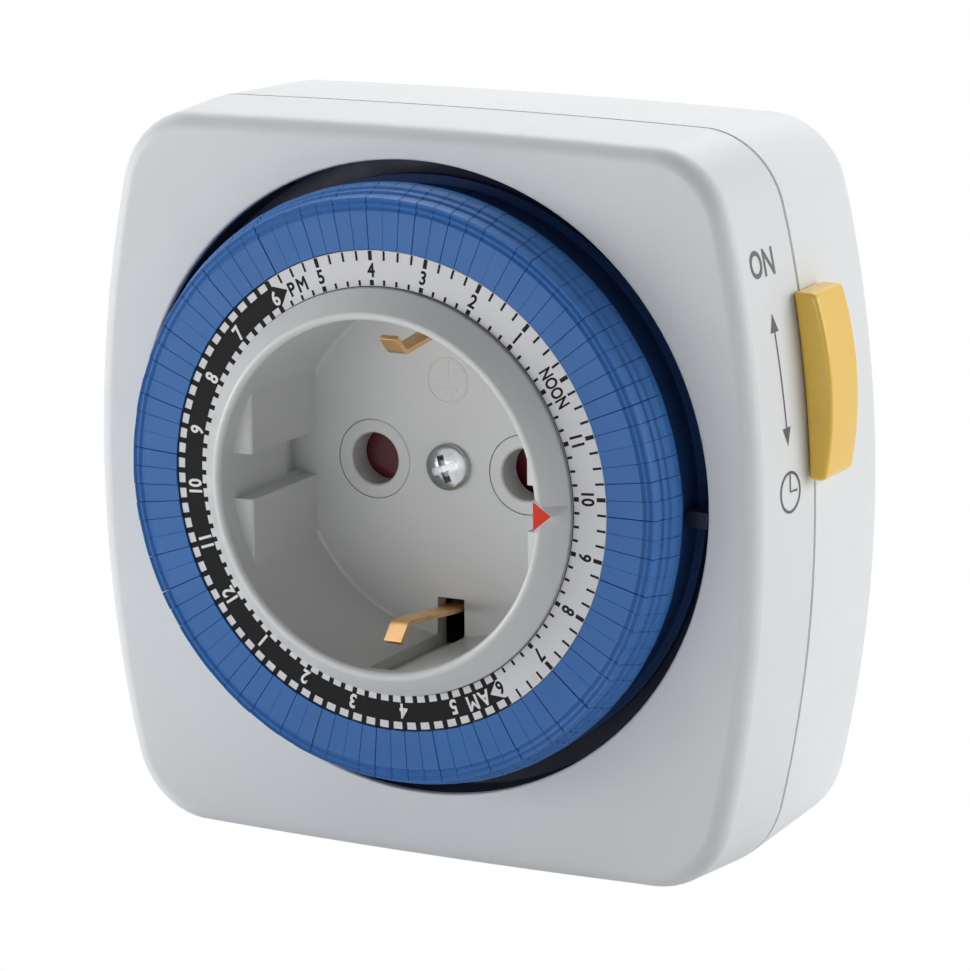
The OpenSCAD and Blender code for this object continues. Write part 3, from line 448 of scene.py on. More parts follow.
well = turned("socket_cup", [
    (0, Z_UNDER), (TUBE_R, Z_UNDER), (TUBE_R, Z_RIM), (RIM_R - 0.1, Z_RIM),
    (RIM_R, Z_RIM + 0.08)]
    + arc((RIM_R - RIM_ROUND, Z_RIM + 0.22), RIM_ROUND, 10, 50, 3)
    + arc((WELL_R + LIP_ROUND, Z_LIP - CREST_SINK - LIP_ROUND), LIP_ROUND, 50, 180, 9)
    + [(WELL_R, Z_LIP - 3), (WELL_R, Z_FLOOR + 4)]
    + arc((WELL_R - FLOOR_ROUND, Z_FLOOR + FLOOR_ROUND), FLOOR_ROUND, 0, -90, 4)
    + [(0, Z_FLOOR)])
for side in (-1, 1):
    pad = prism("guide_flat", [(side * x, -GUIDE_W / 2, z) for x, z in (
        (GUIDE_FLAT, Z_UNDER + PAST), (GUIDE_FLAT, Z_LIP - GUIDE_DROP),
        (GUIDE_FLAT + 0.2, Z_LIP - GUIDE_DROP + 0.22),
        (WELL_R + PAD_OVER, Z_LIP - GUIDE_DROP + 0.45), (WELL_R + PAD_OVER, Z_UNDER + PAST))],
        (0, GUIDE_W, 0))
    combine(pad, rod("limit", WELL_R + 0.25, Z_UNDER, Z_LIP, vertices=128), "INTERSECT")
    combine(well, pad, "UNION")
groove = joined("groove", [
    block("groove_right", (GUIDE_FLAT - SLIT_IN, -SLIT_HALF, Z_FLOOR),
          (WELL_R + PAST, SLIT_HALF, Z_LIP - SLIT_DROP)),
    block("groove_left", (-WELL_R - PAST, -SLIT_HALF, Z_FLOOR),
          (SLIT_IN - GUIDE_FLAT, SLIT_HALF, Z_LIP - SLIT_DROP))])
combine(groove, rod("limit", WELL_R, Z_FLOOR, Z_LIP, vertices=128), "INTERSECT")
combine(well, groove)
combine(well, block("pockets", (-WELL_R - POCKET_OUT, -POCKET_HALF, Z_FLOOR),
                    (WELL_R + POCKET_OUT, POCKET_HALF, Z_FLOOR + POCKET_RISE)))
for side in (-1, 1):
    combine(well, rod("boss_hole", BOSS_R + BOSS_PLAY, Z_UNDER - PAST, Z_FLOOR + PAST,
                      (side * PIN_X, 0), vertices=64))
    edge = -CLIP_W / 2 - CLIP_ROOM
    for right, reach in ((-edge, CLIP_REACH), (edge + RELIEF_W, RELIEF_REACH)):
        near, far = sorted((side * (EARTH_R - CLIP_NEAR), side * reach))
        combine(well, block("clip_slot", (edge, near, Z_UNDER - PAST),
                            (right, far, Z_LIP - CLIP_DROP)))
combine(well, rod("screw_hole", SCREW_R + SCREW_PLAY, Z_UNDER - PAST, Z_FLOOR + PAST,
                  vertices=32))
# The pointer is the hull of four small blocks, from its edge at the well to its foot on the rim.
pointer = joined("pointer", [
    block("bar", (WELL_R + 0.02, -POINTER_HALF, Z_LIP - 0.6),
          (WELL_R + 0.12, POINTER_HALF, Z_LIP - 0.05)),
    block("tip", (WELL_R + 1.9, 0, Z_LIP - 0.8), (WELL_R + 2, 0.15, Z_LIP - 0.5)),
    block("foot", (WELL_R + 0.6, -POINTER_FOOT_HALF, Z_LIP - 2.2),
          (RIM_R - 0.6, POINTER_FOOT_HALF, Z_LIP - 2.15)),
    block("toe", (RIM_R - 0.5, 0, Z_SCALE + 0.85), (RIM_R - 0.2, 0.6, Z_SCALE + 0.9))])
edit(pointer)
bpy.ops.mesh.convex_hull()
bpy.ops.object.mode_set(mode="OBJECT")
combine(well, pointer, "UNION")
smooth(well, angle=32)
finish(well, "case", "well", WELL_PLASTIC, "socket_well")

# ---- pointer mark ----
# The red triangle on the pointer, which shows the time on the scale. It is a film of red foil,
# stamped hot on the flat top of the lip.

FILM_T = 0.05
MARK_FROM, MARK_TO, MARK_HALF, MARK_TIP_Y = WELL_R + 0.04, WELL_R + 1.95, 1.58, 0.08
Z_MARK_FROM, Z_MARK_TO = Z_LIP - 0.06, Z_LIP - 0.52

mark = prism("pointer_mark", [
    (MARK_FROM, -MARK_HALF, Z_MARK_FROM), (MARK_TO, MARK_TIP_Y, Z_MARK_TO),
    (MARK_FROM, MARK_HALF, Z_MARK_FROM)], (0, 0, FILM_T))
finish(mark, "case", "well", moulded("red_film", (238, 52, 16), 0.4, grain=0.2, depth=0.003,
                                     gloss=0.3))

# ---- earth symbol ----
# The earth symbol above the pin holes, a ring with a stem and three bars. It is part of the
# well's moulding and stands out a little from the floor.

EARTH_AT = (-0.2, 9.7)
SYMBOL_R, LINE_FOOT, LINE_TOP, STEM_HALF_W = 2.5, 0.24, 0.12, 0.2
BAR_HALVES, BAR_TOP, BAR_T, BAR_PITCH = (1.75, 1.25, 0.7), -0.04, 0.38, 0.72
Z_ROOT, Z_RELIEF = Z_FLOOR - 0.1, Z_FLOOR + 0.06

parts = [
    turned("rim", [(SYMBOL_R - LINE_FOOT, Z_ROOT), (SYMBOL_R + LINE_FOOT, Z_ROOT),
                   (SYMBOL_R + LINE_TOP, Z_RELIEF), (SYMBOL_R - LINE_TOP, Z_RELIEF)], steps=64),
    block("stem", (-STEM_HALF_W, -0.1, Z_ROOT), (STEM_HALF_W, SYMBOL_R, Z_RELIEF - 0.01))]
for bar, half in enumerate(BAR_HALVES):
    bar_top = BAR_TOP - BAR_PITCH * bar
    parts.append(block("bar", (-half, bar_top - BAR_T, Z_ROOT), (half, bar_top, Z_RELIEF - 0.02)))
symbol = joined("earth_symbol", parts)
symbol.data.transform(Matrix.Translation((EARTH_AT[0], EARTH_AT[1], 0)))
smooth(symbol)
finish(symbol, "case", "well", WELL_PLASTIC)

# ---- contact carrier ----
# The moulding behind the well's floor, in the same grey plastic. A round boss comes up through
# the floor at each pin hole, and the shutter lies in the space under it.

Z_CUP, CUP_R, CUP_WALL, SHUTTER_SPACE = 36.3, 15.0, 1.2, 1.55
BOSS_SINK, BOSS_BEVEL = 0.02, 0.12
BORE_BEVEL = 0.18

carrier = turned("carrier", [
    (0, Z_CUP + SHUTTER_SPACE), (CUP_R - CUP_WALL, Z_CUP + SHUTTER_SPACE),
    (CUP_R - CUP_WALL, Z_CUP), (CUP_R, Z_CUP), (CUP_R, Z_UNDER), (0, Z_UNDER)], steps=96)
for side in (-1, 1):
    boss = turned("boss", [
        (0, Z_UNDER - PAST), (BOSS_R, Z_UNDER - PAST), (BOSS_R, Z_FLOOR - BOSS_SINK - BOSS_BEVEL),
        (BOSS_R - BOSS_BEVEL, Z_FLOOR - BOSS_SINK), (0, Z_FLOOR - BOSS_SINK)], steps=64)
    boss.data.transform(Matrix.Translation((side * PIN_X, 0, 0)))
    combine(carrier, boss, "UNION")
for side in (-1, 1):
    bore = turned("bore", [
        (0, Z_CUP - PAST), (PIN_HOLE_R, Z_CUP - PAST),
        (PIN_HOLE_R, Z_FLOOR - BOSS_SINK - BORE_BEVEL),
        (PIN_HOLE_R + BORE_BEVEL, Z_FLOOR - BOSS_SINK / 2),
        (PIN_HOLE_R + BORE_BEVEL, Z_FLOOR + PAST), (0, Z_FLOOR + PAST)], steps=64)
    bore.data.transform(Matrix.Translation((side * PIN_X, 0, 0)))
    combine(carrier, bore)
combine(carrier, rod("screw_hole", SCREW_R + SCREW_PLAY, Z_CUP, Z_FLOOR + PAST, vertices=32))
smooth(carrier, angle=32)
finish(carrier, "case", "well", WELL_PLASTIC, "contact_carrier")

# ---- centre screw ----
# A pan-head screw of zinc-plated steel with a cross recess. It goes through the middle of the
# floor and holds the socket's parts together.

Z_SCREW_END = 27
HEAD_PROFILE = [(2.5, 0.02), (2.65, 0.15), (2.65, 0.4), (2.6, 0.62), (2.42, 0.84), (2.1, 1.05),
                (1.6, 1.24), (1.0, 1.37), (0.5, 1.43), (0, 1.45)]
RECESS_RISE, RECESS_SIZE, RECESS_TAPER = 1.55, (5.2, 1.3, 2.8), (0.35, 0.45, 1)
RECESS_TURNS = (20, 110)

screw = turned("pan_head_screw", [
    (0, Z_SCREW_END), (SCREW_R, Z_SCREW_END), (SCREW_R, Z_FLOOR + HEAD_PROFILE[0][1])]
    + [(r, Z_FLOOR + z) for r, z in HEAD_PROFILE], steps=64)
for turn in RECESS_TURNS:
    clear()
    bpy.ops.mesh.primitive_cube_add(
        size=1, location=(0, 0, Z_FLOOR + RECESS_RISE), scale=RECESS_SIZE)
    slot = named("slot")
    choose(slot, "FACE", lambda c, n: n.z < -FACING)
    bpy.ops.transform.resize(value=RECESS_TAPER)
    bpy.ops.object.mode_set(mode="OBJECT")
    slot.data.transform(Matrix.Rotation(math.radians(turn), 4, "Z"))
    combine(screw, slot)
smooth(screw, angle=35)


def plated(name, colour, roughness, brush=900, streak=0.06, stain=None):
    """Bare or plated metal with fine drawing marks and a slightly uneven tarnish."""
    material, tree, shader, place = new_finish(name)
    shader.inputs["Metallic"].default_value = 1.0
    stretch = tree.nodes.new("ShaderNodeMapping")
    stretch.inputs["Scale"].default_value = (1.0, 0.25, 1.0)
    tree.links.new(place, stretch.inputs["Vector"])
    marks = noise(tree, stretch.outputs["Vector"], scale=brush, detail=2.0)
    tarnish = noise(tree, place, scale=350, detail=4.0)
    colour_between(tree, shader, spread(tree, tarnish, 0.45, 0.75, 0, 1),
                   colour, stain or [c * 0.82 for c in colour])
    uneven = spread(tree, marks, 0, 1, roughness - streak, roughness + streak)
    tree.links.new(uneven, shader.inputs["Roughness"])
    rough_to_touch(tree, shader, marks, strength=0.25, distance=0.00001)
    return material


ZINC = plated("zinc_plate", (205, 207, 210), 0.22)
finish(screw, "case", "zinc", ZINC, "centre_screw")

# ---- earth clips ----
# Two springs stamped from one strip of brass. Each comes up through its slot, leans in over the
# well's wall and ends in a tip bent outwards, which an appliance plug pushes aside.

BRASS = plated("brass_strip", (255, 208, 148), 0.38, stain=(238, 182, 118))
STRIP_T, BEND_STEPS = 0.6, 5
Z_BAR, Z_TIP = 20.85, Z_LIP - 4
CLIP_LEAN, CLIP_TIP_OUT, CLIP_TIP_H = 1.25, 0.7, 1.8


def bent_strip(name, path, width, bend=0.7):
    """A strip of sheet metal seen from its edge: the path with its bends rounded, offset to both
    sides by half its thickness, and extruded to its width."""
    line = [Vector(path[0])]
    for before, at, after in zip(path, path[1:], path[2:]):
        at = Vector(at)
        start = at + (Vector(before) - at).normalized() * bend
        end = at + (Vector(after) - at).normalized() * bend
        for step in range(BEND_STEPS + 1):
            t = step / BEND_STEPS
            line.append(start.lerp(at, t).lerp(at.lerp(end, t), t))
    line.append(Vector(path[-1]))
    edges = {1: [], -1: []}
    for i, at in enumerate(line):
        along = (line[min(i + 1, len(line) - 1)] - line[max(i - 1, 0)]).normalized()
        for side in edges:
            y, z = at + Vector((-along.y, along.x)) * side * STRIP_T / 2
            edges[side].append((-width / 2, y, z))
    piece = prism(name, edges[1] + edges[-1][::-1], (width, 0, 0))
    bevel_edges(piece, width=0.1, segments=2, sharper_than=50)
    return piece


arm = [(EARTH_R, Z_BAR), (EARTH_R, Z_FLOOR), (EARTH_R - CLIP_LEAN, Z_TIP - CLIP_TIP_H),
       (EARTH_R + CLIP_TIP_OUT, Z_TIP)]
clips = bent_strip("earth_strip", [(-y, z) for y, z in reversed(arm)] + arm, CLIP_W)
smooth(clips, angle=35)
finish(clips, "case", "brass", BRASS, "earth_clips")

# ---- tappets ----
# Ninety-six quarter-hour tappets in blue plastic, four to an hour. Each is a flat head with two
# finger grooves, a round shoulder and a ridged skirt, and slides on a stem in the drum.

# The hour at the pointer, which the dial is set to at rest.
TIME_SHOWN = 9.74
HOURS, QUARTERS = 24, 96
HOUR_STEP, PITCH = 360 / HOURS, 360 / QUARTERS
MIDNIGHT = -HOUR_STEP * TIME_SHOWN
TAPPET_GAP = 0.045
RING_R, SCALE_R = 33.4, 26.55
Z_RING = Z_SCALE + 0.2
STEM_FROM, STEM_TO, STEM_HALF = 28.6, 30.0, 0.62
Z_STEM_END, Z_STEM_TOP = Z_RING - 7.1, Z_RING - 1.1
TAPPET_SECTION = [
    (SCALE_R + 0.1, -1.3), (SCALE_R + 0.1, 0), (RING_R - 2.75, 0), (RING_R - 2.5, 0.04),
    (RING_R - 2.2, -0.2), (RING_R - 2.1, -0.2), (RING_R - 1.8, 0.03), (RING_R - 1.5, -0.2),
    (RING_R - 1.4, -0.2), (RING_R - 1.15, 0), (RING_R - 1.05, -0.12), (RING_R - 0.98, -0.5),
    (RING_R - 0.88, -1.3), (RING_R - 0.6, -1.42), (RING_R - 0.5, -2.15), (RING_R - 0.22, -2.3),
    (RING_R - 0.15, -3.1), (RING_R, -3.25), (RING_R, -4.4), (RING_R - 0.3, -5.1),
    (RING_R - 1.3, -5.1), (RING_R - 1.3, -1.3)]
# How far one tappet differs from the next: its turn and tilt in degrees, its height and its
# distance from the axis in millimetres.
TURN_PLAY, TILT_PLAY, HEIGHT_PLAY, IN_PLAY, OUT_PLAY = 0.045, 0.5, 0.07, 0.03, 0.02
TILT_DOWN = 3

sweep = PITCH - math.degrees(TAPPET_GAP / RING_R)
pattern = ngon("tappet", [(*polar(r, sweep / 2), Z_RING + z) for r, z in TAPPET_SECTION])
edit(pattern)
bpy.ops.mesh.spin(steps=2, angle=math.radians(sweep), center=(0, 0, 0), axis=(0, 0, 1))
outwards(pattern)
bevel_edges(pattern, width=0.035, segments=1, sharper_than=60)
pattern = joined("tappet", [pattern, block("stem", (STEM_FROM, -STEM_HALF, Z_STEM_END),
                                           (STEM_TO, STEM_HALF, Z_STEM_TOP))])
smooth(pattern, angle=40)

TAPPET_PLASTIC = moulded("tappet_plastic", (54, 110, 178), 0.45, grain=0.25, depth=0.006,
                         mottle=0.05, tint=(47, 98, 164), gloss=0.3)
play = random.Random(24)
for hour in range(HOURS):
    group = []
    for quarter in range(QUARTERS // HOURS):
        tappet = pattern.copy()
        tappet.data = pattern.data.copy()
        bpy.context.collection.objects.link(tappet)
        turn = (MIDNIGHT + HOUR_STEP * hour + PITCH * (quarter + 0.5)
                + TURN_PLAY * play.uniform(-1, 1) ** 3)
        lift = play.uniform(-HEIGHT_PLAY, 0)
        tilt = play.uniform(-TILT_PLAY, TILT_PLAY)
        shift = play.uniform(-IN_PLAY, OUT_PLAY)
        tappet.data.transform(
            Matrix.Rotation(math.radians(turn), 4, "Z")
            @ Matrix.Translation((shift, 0, Z_RING - TILT_DOWN + lift))
            @ Matrix.Rotation(math.radians(tilt), 4, "X")
            @ Matrix.Translation((0, 0, TILT_DOWN - Z_RING)))
        group.append(tappet)
    group = joined(f"tappets_of_hour_{hour:02d}", group)
    finish(group, f"hour_{hour:02d}", "tappet", TAPPET_PLASTIC, f"tappets_{hour:02d}")
bpy.data.objects.remove(pattern)

# ---- scale print ----
# The 24-hour scale, printed in black on the white ring: a tick for each quarter of an hour at the
# outer and the inner edge, the hours between them, and a black band from 6 PM to 6 AM.

INK = 0.03
DAWN, NOON, DUSK = 6, 12, 18
FIRST_LIGHT, LAST_LIGHT = 25, 71
# The outer and the inner tick, each as its inner radius, its outer radius and its width.
NIGHT_TICKS = ((25.6, 26.5, 0.62), (22.65, 23.45, 0.55))
HOUR_TICKS = ((25.45, 26.48, 0.46), (22.72, 23.32, 0.5))
QUARTER_TICKS = ((25.45, 26.48, 0.26), (22.72, 23.32, 0.28))
BAND_R, BAND_STEPS = (23.43, 24.54, 25.65), 118
BAND_SWEEP, BAND_END_SWEEP, BAND_LEAD = 176, 5, 1
EVENING_SLANT, MORNING_SLANT = -3.3, -3.5
BORDERS = ((22.58, 22.67, 360), (26.45, 26.54, 180))
DIGIT_R, DIGIT_H, LIGHT_DIGIT_H = 24.4, 1.58, 1.7
DIGIT_NARROW, NOON_NARROW, DIGIT_WEIGHT = 0.84, 0.7, 0.03
NOON_BACK = 0.65
AM_R, AM_TURNS = 24.6, (("A", -5.4), ("M", -9.2))
PM_R, PM_TURNS = 24.35, (("P", -5.7), ("M", -9.0))


def ticks_at(quarter):
    if not FIRST_LIGHT <= quarter <= LAST_LIGHT:
        return NIGHT_TICKS
    return QUARTER_TICKS if quarter % (QUARTERS // HOURS) else HOUR_TICKS


def printed(name, text, height, narrow, weight):
    """A word as a thin film of ink in the plane of its letters, round its own middle."""
    clear()
    bpy.ops.object.text_add()
    letters = bpy.context.object
    letters.data.body = text
    letters.data.extrude = 0.01
    letters.data.bevel_depth = weight
    letters.data.resolution_u = 4
    bpy.ops.object.convert(target="MESH")
    film = named(name)
    xs, ys, zs = zip(*(v.co for v in film.data.vertices))
    size = height / (max(ys) - min(ys))
    film.data.transform(
        Matrix.Diagonal((size * narrow, size, INK / (max(zs) - min(zs)), 1))
        @ Matrix.Translation((-(min(xs) + max(xs)) / 2, -(min(ys) + max(ys)) / 2, 0)))
    return film


def on_dial(film, angle, radius, rise):
    """Lays a word on the scale with its foot to the axis, rise above the printed ring."""
    film.data.transform(
        Matrix.Rotation(math.radians(angle), 4, "Z")
        @ Matrix.Translation((radius, 0, Z_SCALE + rise))
        @ Matrix.Rotation(math.radians(-90), 4, "Z"))
    return film


BLACK_INK = moulded("black_ink", (20, 21, 23), 0.5, grain=0.2, depth=0.002, gloss=0.12)
WHITE_INK = moulded("white_ink", (226, 227, 228), 0.42, grain=0.2, depth=0.002)

EVENING, MORNING = MIDNIGHT + HOUR_STEP * DUSK, MIDNIGHT + HOUR_STEP * DAWN
clear()
bpy.ops.mesh.primitive_cube_add(size=1)
ticks = named("scale_ticks")
edit(ticks)
bpy.ops.mesh.delete(type="VERT")
for quarter in range(QUARTERS):
    angle = MIDNIGHT + PITCH * quarter
    for low, high, width in ticks_at(quarter):
        bpy.ops.mesh.primitive_cube_add(
            size=1, location=(*polar((low + high) / 2, angle), Z_SCALE),
            rotation=(0, 0, math.radians(angle)), scale=(high - low, width, INK))
bpy.ops.object.mode_set(mode="OBJECT")

section = [(r, -INK / 2) for r in BAND_R] + [(r, INK / 2) for r in reversed(BAND_R)]
band = ngon("night_band", [(*polar(r, EVENING - BAND_LEAD), Z_SCALE + z) for r, z in section])
edit(band)
for steps, sweep in ((BAND_STEPS, BAND_SWEEP), (1, BAND_END_SWEEP)):
    bpy.ops.mesh.spin(steps=steps, angle=math.radians(sweep), center=(0, 0, 0), axis=(0, 0, -1))
# The middle of each end is drawn out to a point, which makes the band's two arrowheads.
for end, slant in ((EVENING - BAND_LEAD, EVENING_SLANT), (MORNING, MORNING_SLANT)):
    at = Vector((*polar(BAND_R[1], end), Z_SCALE))
    choose(band, "VERT", lambda p: (p - at).length < INK)
    bpy.ops.object.mode_set(mode="OBJECT")
    turn = Matrix.Rotation(math.radians(slant), 4, "Z")
    for corner in band.data.vertices:
        if corner.select:
            corner.co = turn @ corner.co
outwards(band)
borders = []
for low, high, sweep in BORDERS:
    section = ((low, -INK / 2), (high, -INK / 2), (high, INK / 2), (low, INK / 2))
    border = ngon("border", [(*polar(r, EVENING), Z_SCALE + z) for r, z in section])
    edit(border)
    bpy.ops.mesh.spin(
        steps=sweep // 2, angle=math.radians(sweep), center=(0, 0, 0), axis=(0, 0, -1))
    outwards(border, weld=True)
    borders.append(border)

dark, light = [ticks, band] + borders, []
for hour in range(HOURS):
    noon = hour == NOON
    night = hour < DAWN or hour >= DUSK
    film = printed("hour", "NOON" if noon else str(hour % 12 or 12),
                   LIGHT_DIGIT_H if night else DIGIT_H,
                   NOON_NARROW if noon else DIGIT_NARROW, DIGIT_WEIGHT)
    angle = MIDNIGHT + HOUR_STEP * hour - (NOON_BACK if noon else 0)
    (light if night else dark).append(on_dial(film, angle, DIGIT_R, INK if night else 0))
for films, start, radius, height, rise, turns in (
        (light, MORNING, AM_R, LIGHT_DIGIT_H, INK, AM_TURNS),
        (dark, EVENING, PM_R, DIGIT_H, 0, PM_TURNS)):
    for letter, turn in turns:
        film = printed("letter", letter, height, DIGIT_NARROW, DIGIT_WEIGHT)
        films.append(on_dial(film, start + turn, radius, rise))
scale_black = joined("scale_print_black", dark)
finish(scale_black, "dial", "scale", BLACK_INK)
scale_white = joined("scale_print_white", light)
finish(scale_white, "dial", "scale", WHITE_INK)

# ---- override slider ----
# The yellow slide on the right side that sets the switch to ON or to the clock: a crowned grip
# on a stem through the seam, kept in by a curved plate inside the casing. It is one moulding.

SLIDER_Y, SLIDER_LEN, SLIDER_W, SLIDER_RISE, CROWN_R = 2.1, 20.4, 7.2, 2.9, 40.0
Z_SLIDER = Z_SEAM + 1.5
SLIDER_TOP = SLIDER_Y + SLIDER_LEN
SLIDER_ROUND, FACE_STEPS = 0.8, 16
FACE_R = SIDE_R + 0.12
SIDE_AT = (CASING_W / 2 - SIDE_R, -AXIS_RISE)
CROWN_AT = (CASING_W / 2 + SLIDER_RISE - 0.2 - CROWN_R, SLIDER_Y + SLIDER_LEN / 2 - 2.3)
CROWN_STEPS, ROUND_STEPS = 28, 6
STEM_IN, STEM_OUT, STEM_LOW, STEM_HIGH = 4.2, 0.4, 7.5, 16.5
Z_STEM_BACK, Z_STEM_FRONT = Z_SEAM - 3.8, Z_SEAM - 0.2
# The plate runs between two angles round the centre of the casing's bulged side.
PLATE_FROM, PLATE_TO, PLATE_STEPS = 3.2, 7.88, 12
PLATE_OUTER_R, PLATE_INNER_R = SIDE_R - WALL - 1.7, SIDE_R - WALL - 2.9
Z_PLATE, PLATE_W = Z_SEAM - 5.4, 5.2


def on_arc(centre, radius, y):
    """The place at the height y on the right side of a circle."""
    return centre[0] + math.sqrt(radius ** 2 - (y - centre[1]) ** 2), y


def angle_on(centre, at):
    return math.degrees(math.atan2(at[1] - centre[1], at[0] - centre[0]))


low_end = on_arc(CROWN_AT, CROWN_R - SLIDER_ROUND, SLIDER_Y + SLIDER_ROUND)
high_end = on_arc(CROWN_AT, CROWN_R - SLIDER_ROUND, SLIDER_TOP - SLIDER_ROUND)
start, end = angle_on(CROWN_AT, low_end), angle_on(CROWN_AT, high_end)
grip_outline = (
    arc(low_end, SLIDER_ROUND, -90, start, ROUND_STEPS)
    + arc(CROWN_AT, CROWN_R, start, end, CROWN_STEPS)[1:-1]
    + arc(high_end, SLIDER_ROUND, end, 90, ROUND_STEPS)
    + [on_arc(SIDE_AT, FACE_R, SLIDER_TOP - SLIDER_LEN * i / FACE_STEPS)
       for i in range(FACE_STEPS + 1)])
grip = prism("slider_grip", [(x, y, Z_SLIDER - SLIDER_W) for x, y in grip_outline],
             (0, 0, SLIDER_W))
bevel_edges(grip, width=0.5, segments=4, sharper_than=60)
smooth(grip, angle=32)
stem = block("stem", (CASING_W / 2 - STEM_IN, STEM_LOW, Z_STEM_BACK),
             (CASING_W / 2 + STEM_OUT, STEM_HIGH, Z_STEM_FRONT))
plate_outline = (arc(SIDE_AT, PLATE_OUTER_R, PLATE_FROM, PLATE_TO, PLATE_STEPS)
                 + arc(SIDE_AT, PLATE_INNER_R, PLATE_TO, PLATE_FROM, PLATE_STEPS))
plate = prism("plate", [(x, y, Z_PLATE) for x, y in plate_outline], (0, 0, PLATE_W))
slider = joined("slider", [grip, stem, plate])
SLIDER_PLASTIC = moulded("slider_plastic", (236, 193, 66), 0.36, grain=0.4, depth=0.006,
                         mottle=0.05, tint=(228, 178, 46), coat=0.35)
finish(slider, "override", "slider", SLIDER_PLASTIC, "override_slider")

# ---- print on the side ----
# ON, a double arrow and a clock sign beside the slider, printed with a pad in grey-black ink on
# the front cover's right wall.

SIDE_INK = moulded("side_ink", (84, 86, 88), 0.45, grain=0.2, depth=0.002)
INK_RISE = 0.014
# Each place is a depth back from the front face and a height above the dial's axis.
ON_AT, ON_H, ON_NARROW, ON_WEIGHT = (5.75, 26.25), 3.0, 0.78, 0.02
ARROW_TOP, ARROW_TIP = Vector((6.15, 20.85)), Vector((6.95, 6.5))
SHAFT_W, SHAFT_STEPS, SHAFT_FROM, HEAD_LEN, HEAD_HALF = 0.24, 24, 0.1, 2, 0.8
CLOCK_AT, CLOCK_HALF_W, CLOCK_HALF_H, CLOCK_STEPS = (7.1, 1.45), 1.95, 2.15, 40
CLOCK_LINE, HAND_LINE, LONG_HAND, SHORT_HAND, HANDS_RISE = 0.32, 0.28, 1.95, 1.4, 0.05


def ribbon(name, points, width, closed=False):
    """A printed line as a flat ribbon through the points, listed as depth and height."""
    sides = []
    count = len(points)
    for i in range(count):
        before = points[i - 1] if closed or i else points[i]
        after = points[(i + 1) % count] if closed or i < count - 1 else points[i]
        du, dv = after[0] - before[0], after[1] - before[1]
        length = math.hypot(du, dv)
        sides.append((-dv / length * width / 2, du / length * width / 2))
    strips = []
    for i in range(count if closed else count - 1):
        j = (i + 1) % count
        (u0, v0), (u1, v1), (su0, sv0), (su1, sv1) = points[i], points[j], sides[i], sides[j]
        strips.append(ngon("line", [(u0 - su0, v0 - sv0, 0), (u1 - su1, v1 - sv1, 0),
                                    (u1 + su1, v1 + sv1, 0), (u0 + su0, v0 + sv0, 0)]))
    line = joined(name, strips)
    edit(line)
    bpy.ops.mesh.remove_doubles(threshold=WELD)
    bpy.ops.object.mode_set(mode="OBJECT")
    return line


on_word = printed("on_word", "ON", ON_H, ON_NARROW, ON_WEIGHT)
on_word.data.transform(Matrix.Translation((ON_AT[0], ON_AT[1], 0)))
shaft = [ARROW_TOP.lerp(ARROW_TIP, SHAFT_FROM + (1 - 2 * SHAFT_FROM) * i / SHAFT_STEPS)
         for i in range(SHAFT_STEPS + 1)]
marks = [ribbon("shaft", shaft, SHAFT_W)]
for point, other in ((ARROW_TOP, ARROW_TIP), (ARROW_TIP, ARROW_TOP)):
    along = (other - point).normalized()
    across = Vector((-along.y, along.x)) * HEAD_HALF
    foot = point + along * HEAD_LEN
    marks.append(ngon("head", [(*at, 0) for at in (point, foot + across, foot - across)]))
clock_turns = [math.tau * i / CLOCK_STEPS for i in range(CLOCK_STEPS)]
marks.append(ribbon("rim", [(CLOCK_AT[0] + CLOCK_HALF_W * math.cos(turn),
                             CLOCK_AT[1] + CLOCK_HALF_H * math.sin(turn))
                            for turn in clock_turns], CLOCK_LINE, closed=True))
hands_y = CLOCK_AT[1] + HANDS_RISE
marks.append(ribbon("hands", [(CLOCK_AT[0], CLOCK_AT[1] + LONG_HAND), (CLOCK_AT[0], hands_y),
                              (CLOCK_AT[0] + SHORT_HAND, hands_y)], HAND_LINE))
lines = joined("lines", marks)
apply_modifier(lines, "SOLIDIFY", thickness=INK, offset=0)
side_print = joined("side_print", [lines, on_word])
for corner in side_print.data.vertices:
    depth, height, lift = corner.co
    z = Z_FACE - depth
    reach = SIDE_R - (z - Z_SEAM) * math.tan(DRAFT)
    wall = on_arc(SIDE_AT, reach, height)[0] * side_lean(z)
    corner.co = (wall + INK_RISE + max(lift, 0), height, z)
outwards(side_print)
finish(side_print, "case", "casing", SIDE_INK)

# ---- plain parts ----
# The scale ring, the drum, the surround, the plug and everything inside the casing keep the
# frame's own shapes and get the finish of their material, with a painted blue reflection in the
# surround's colour.

FINISHES = {
    "casing": CASING_PLASTIC, "well": WELL_PLASTIC, "tappet": TAPPET_PLASTIC,
    "drum": moulded("drum_plastic", (44, 78, 134), 0.5, grain=0.3, gloss=0.3),
    "scale": moulded("scale_plastic", (222, 223, 226), 0.42, grain=0.3, depth=0.004, gloss=0.3),
    # The surround is near-black plastic; the navy tint of its colour is a painted reflection of
    # the blue tappets.
    "surround": moulded("surround_plastic_and_reflection", (34, 42, 62), 0.4, grain=0.4, depth=0.008, gloss=0.25),
    "slider": SLIDER_PLASTIC,
    "shutter": moulded("shutter_plastic", (88, 15, 22), 0.4, grain=0.4, gloss=0.3),
    "inner": moulded("natural_plastic", (226, 220, 204), 0.4),
    "brass": BRASS,
    "pin": plated("nickel_plate", (214, 212, 206), 0.18),
    "zinc": ZINC,
    "steel": plated("plain_steel", (178, 180, 184), 0.34),
    "copper": plated("copper_wire", (196, 112, 66), 0.3, brush=3000),
    "magnet": moulded("ferrite", (58, 57, 60), 0.5, grain=0.2),
}
slots = {part["node"]: part["material_slot"] for part in frame["record"]["subparts"]}
for name, node in frame["nodes"].items():
    node.data.materials.clear()
    node.data.materials.append(FINISHES[slots[name]])

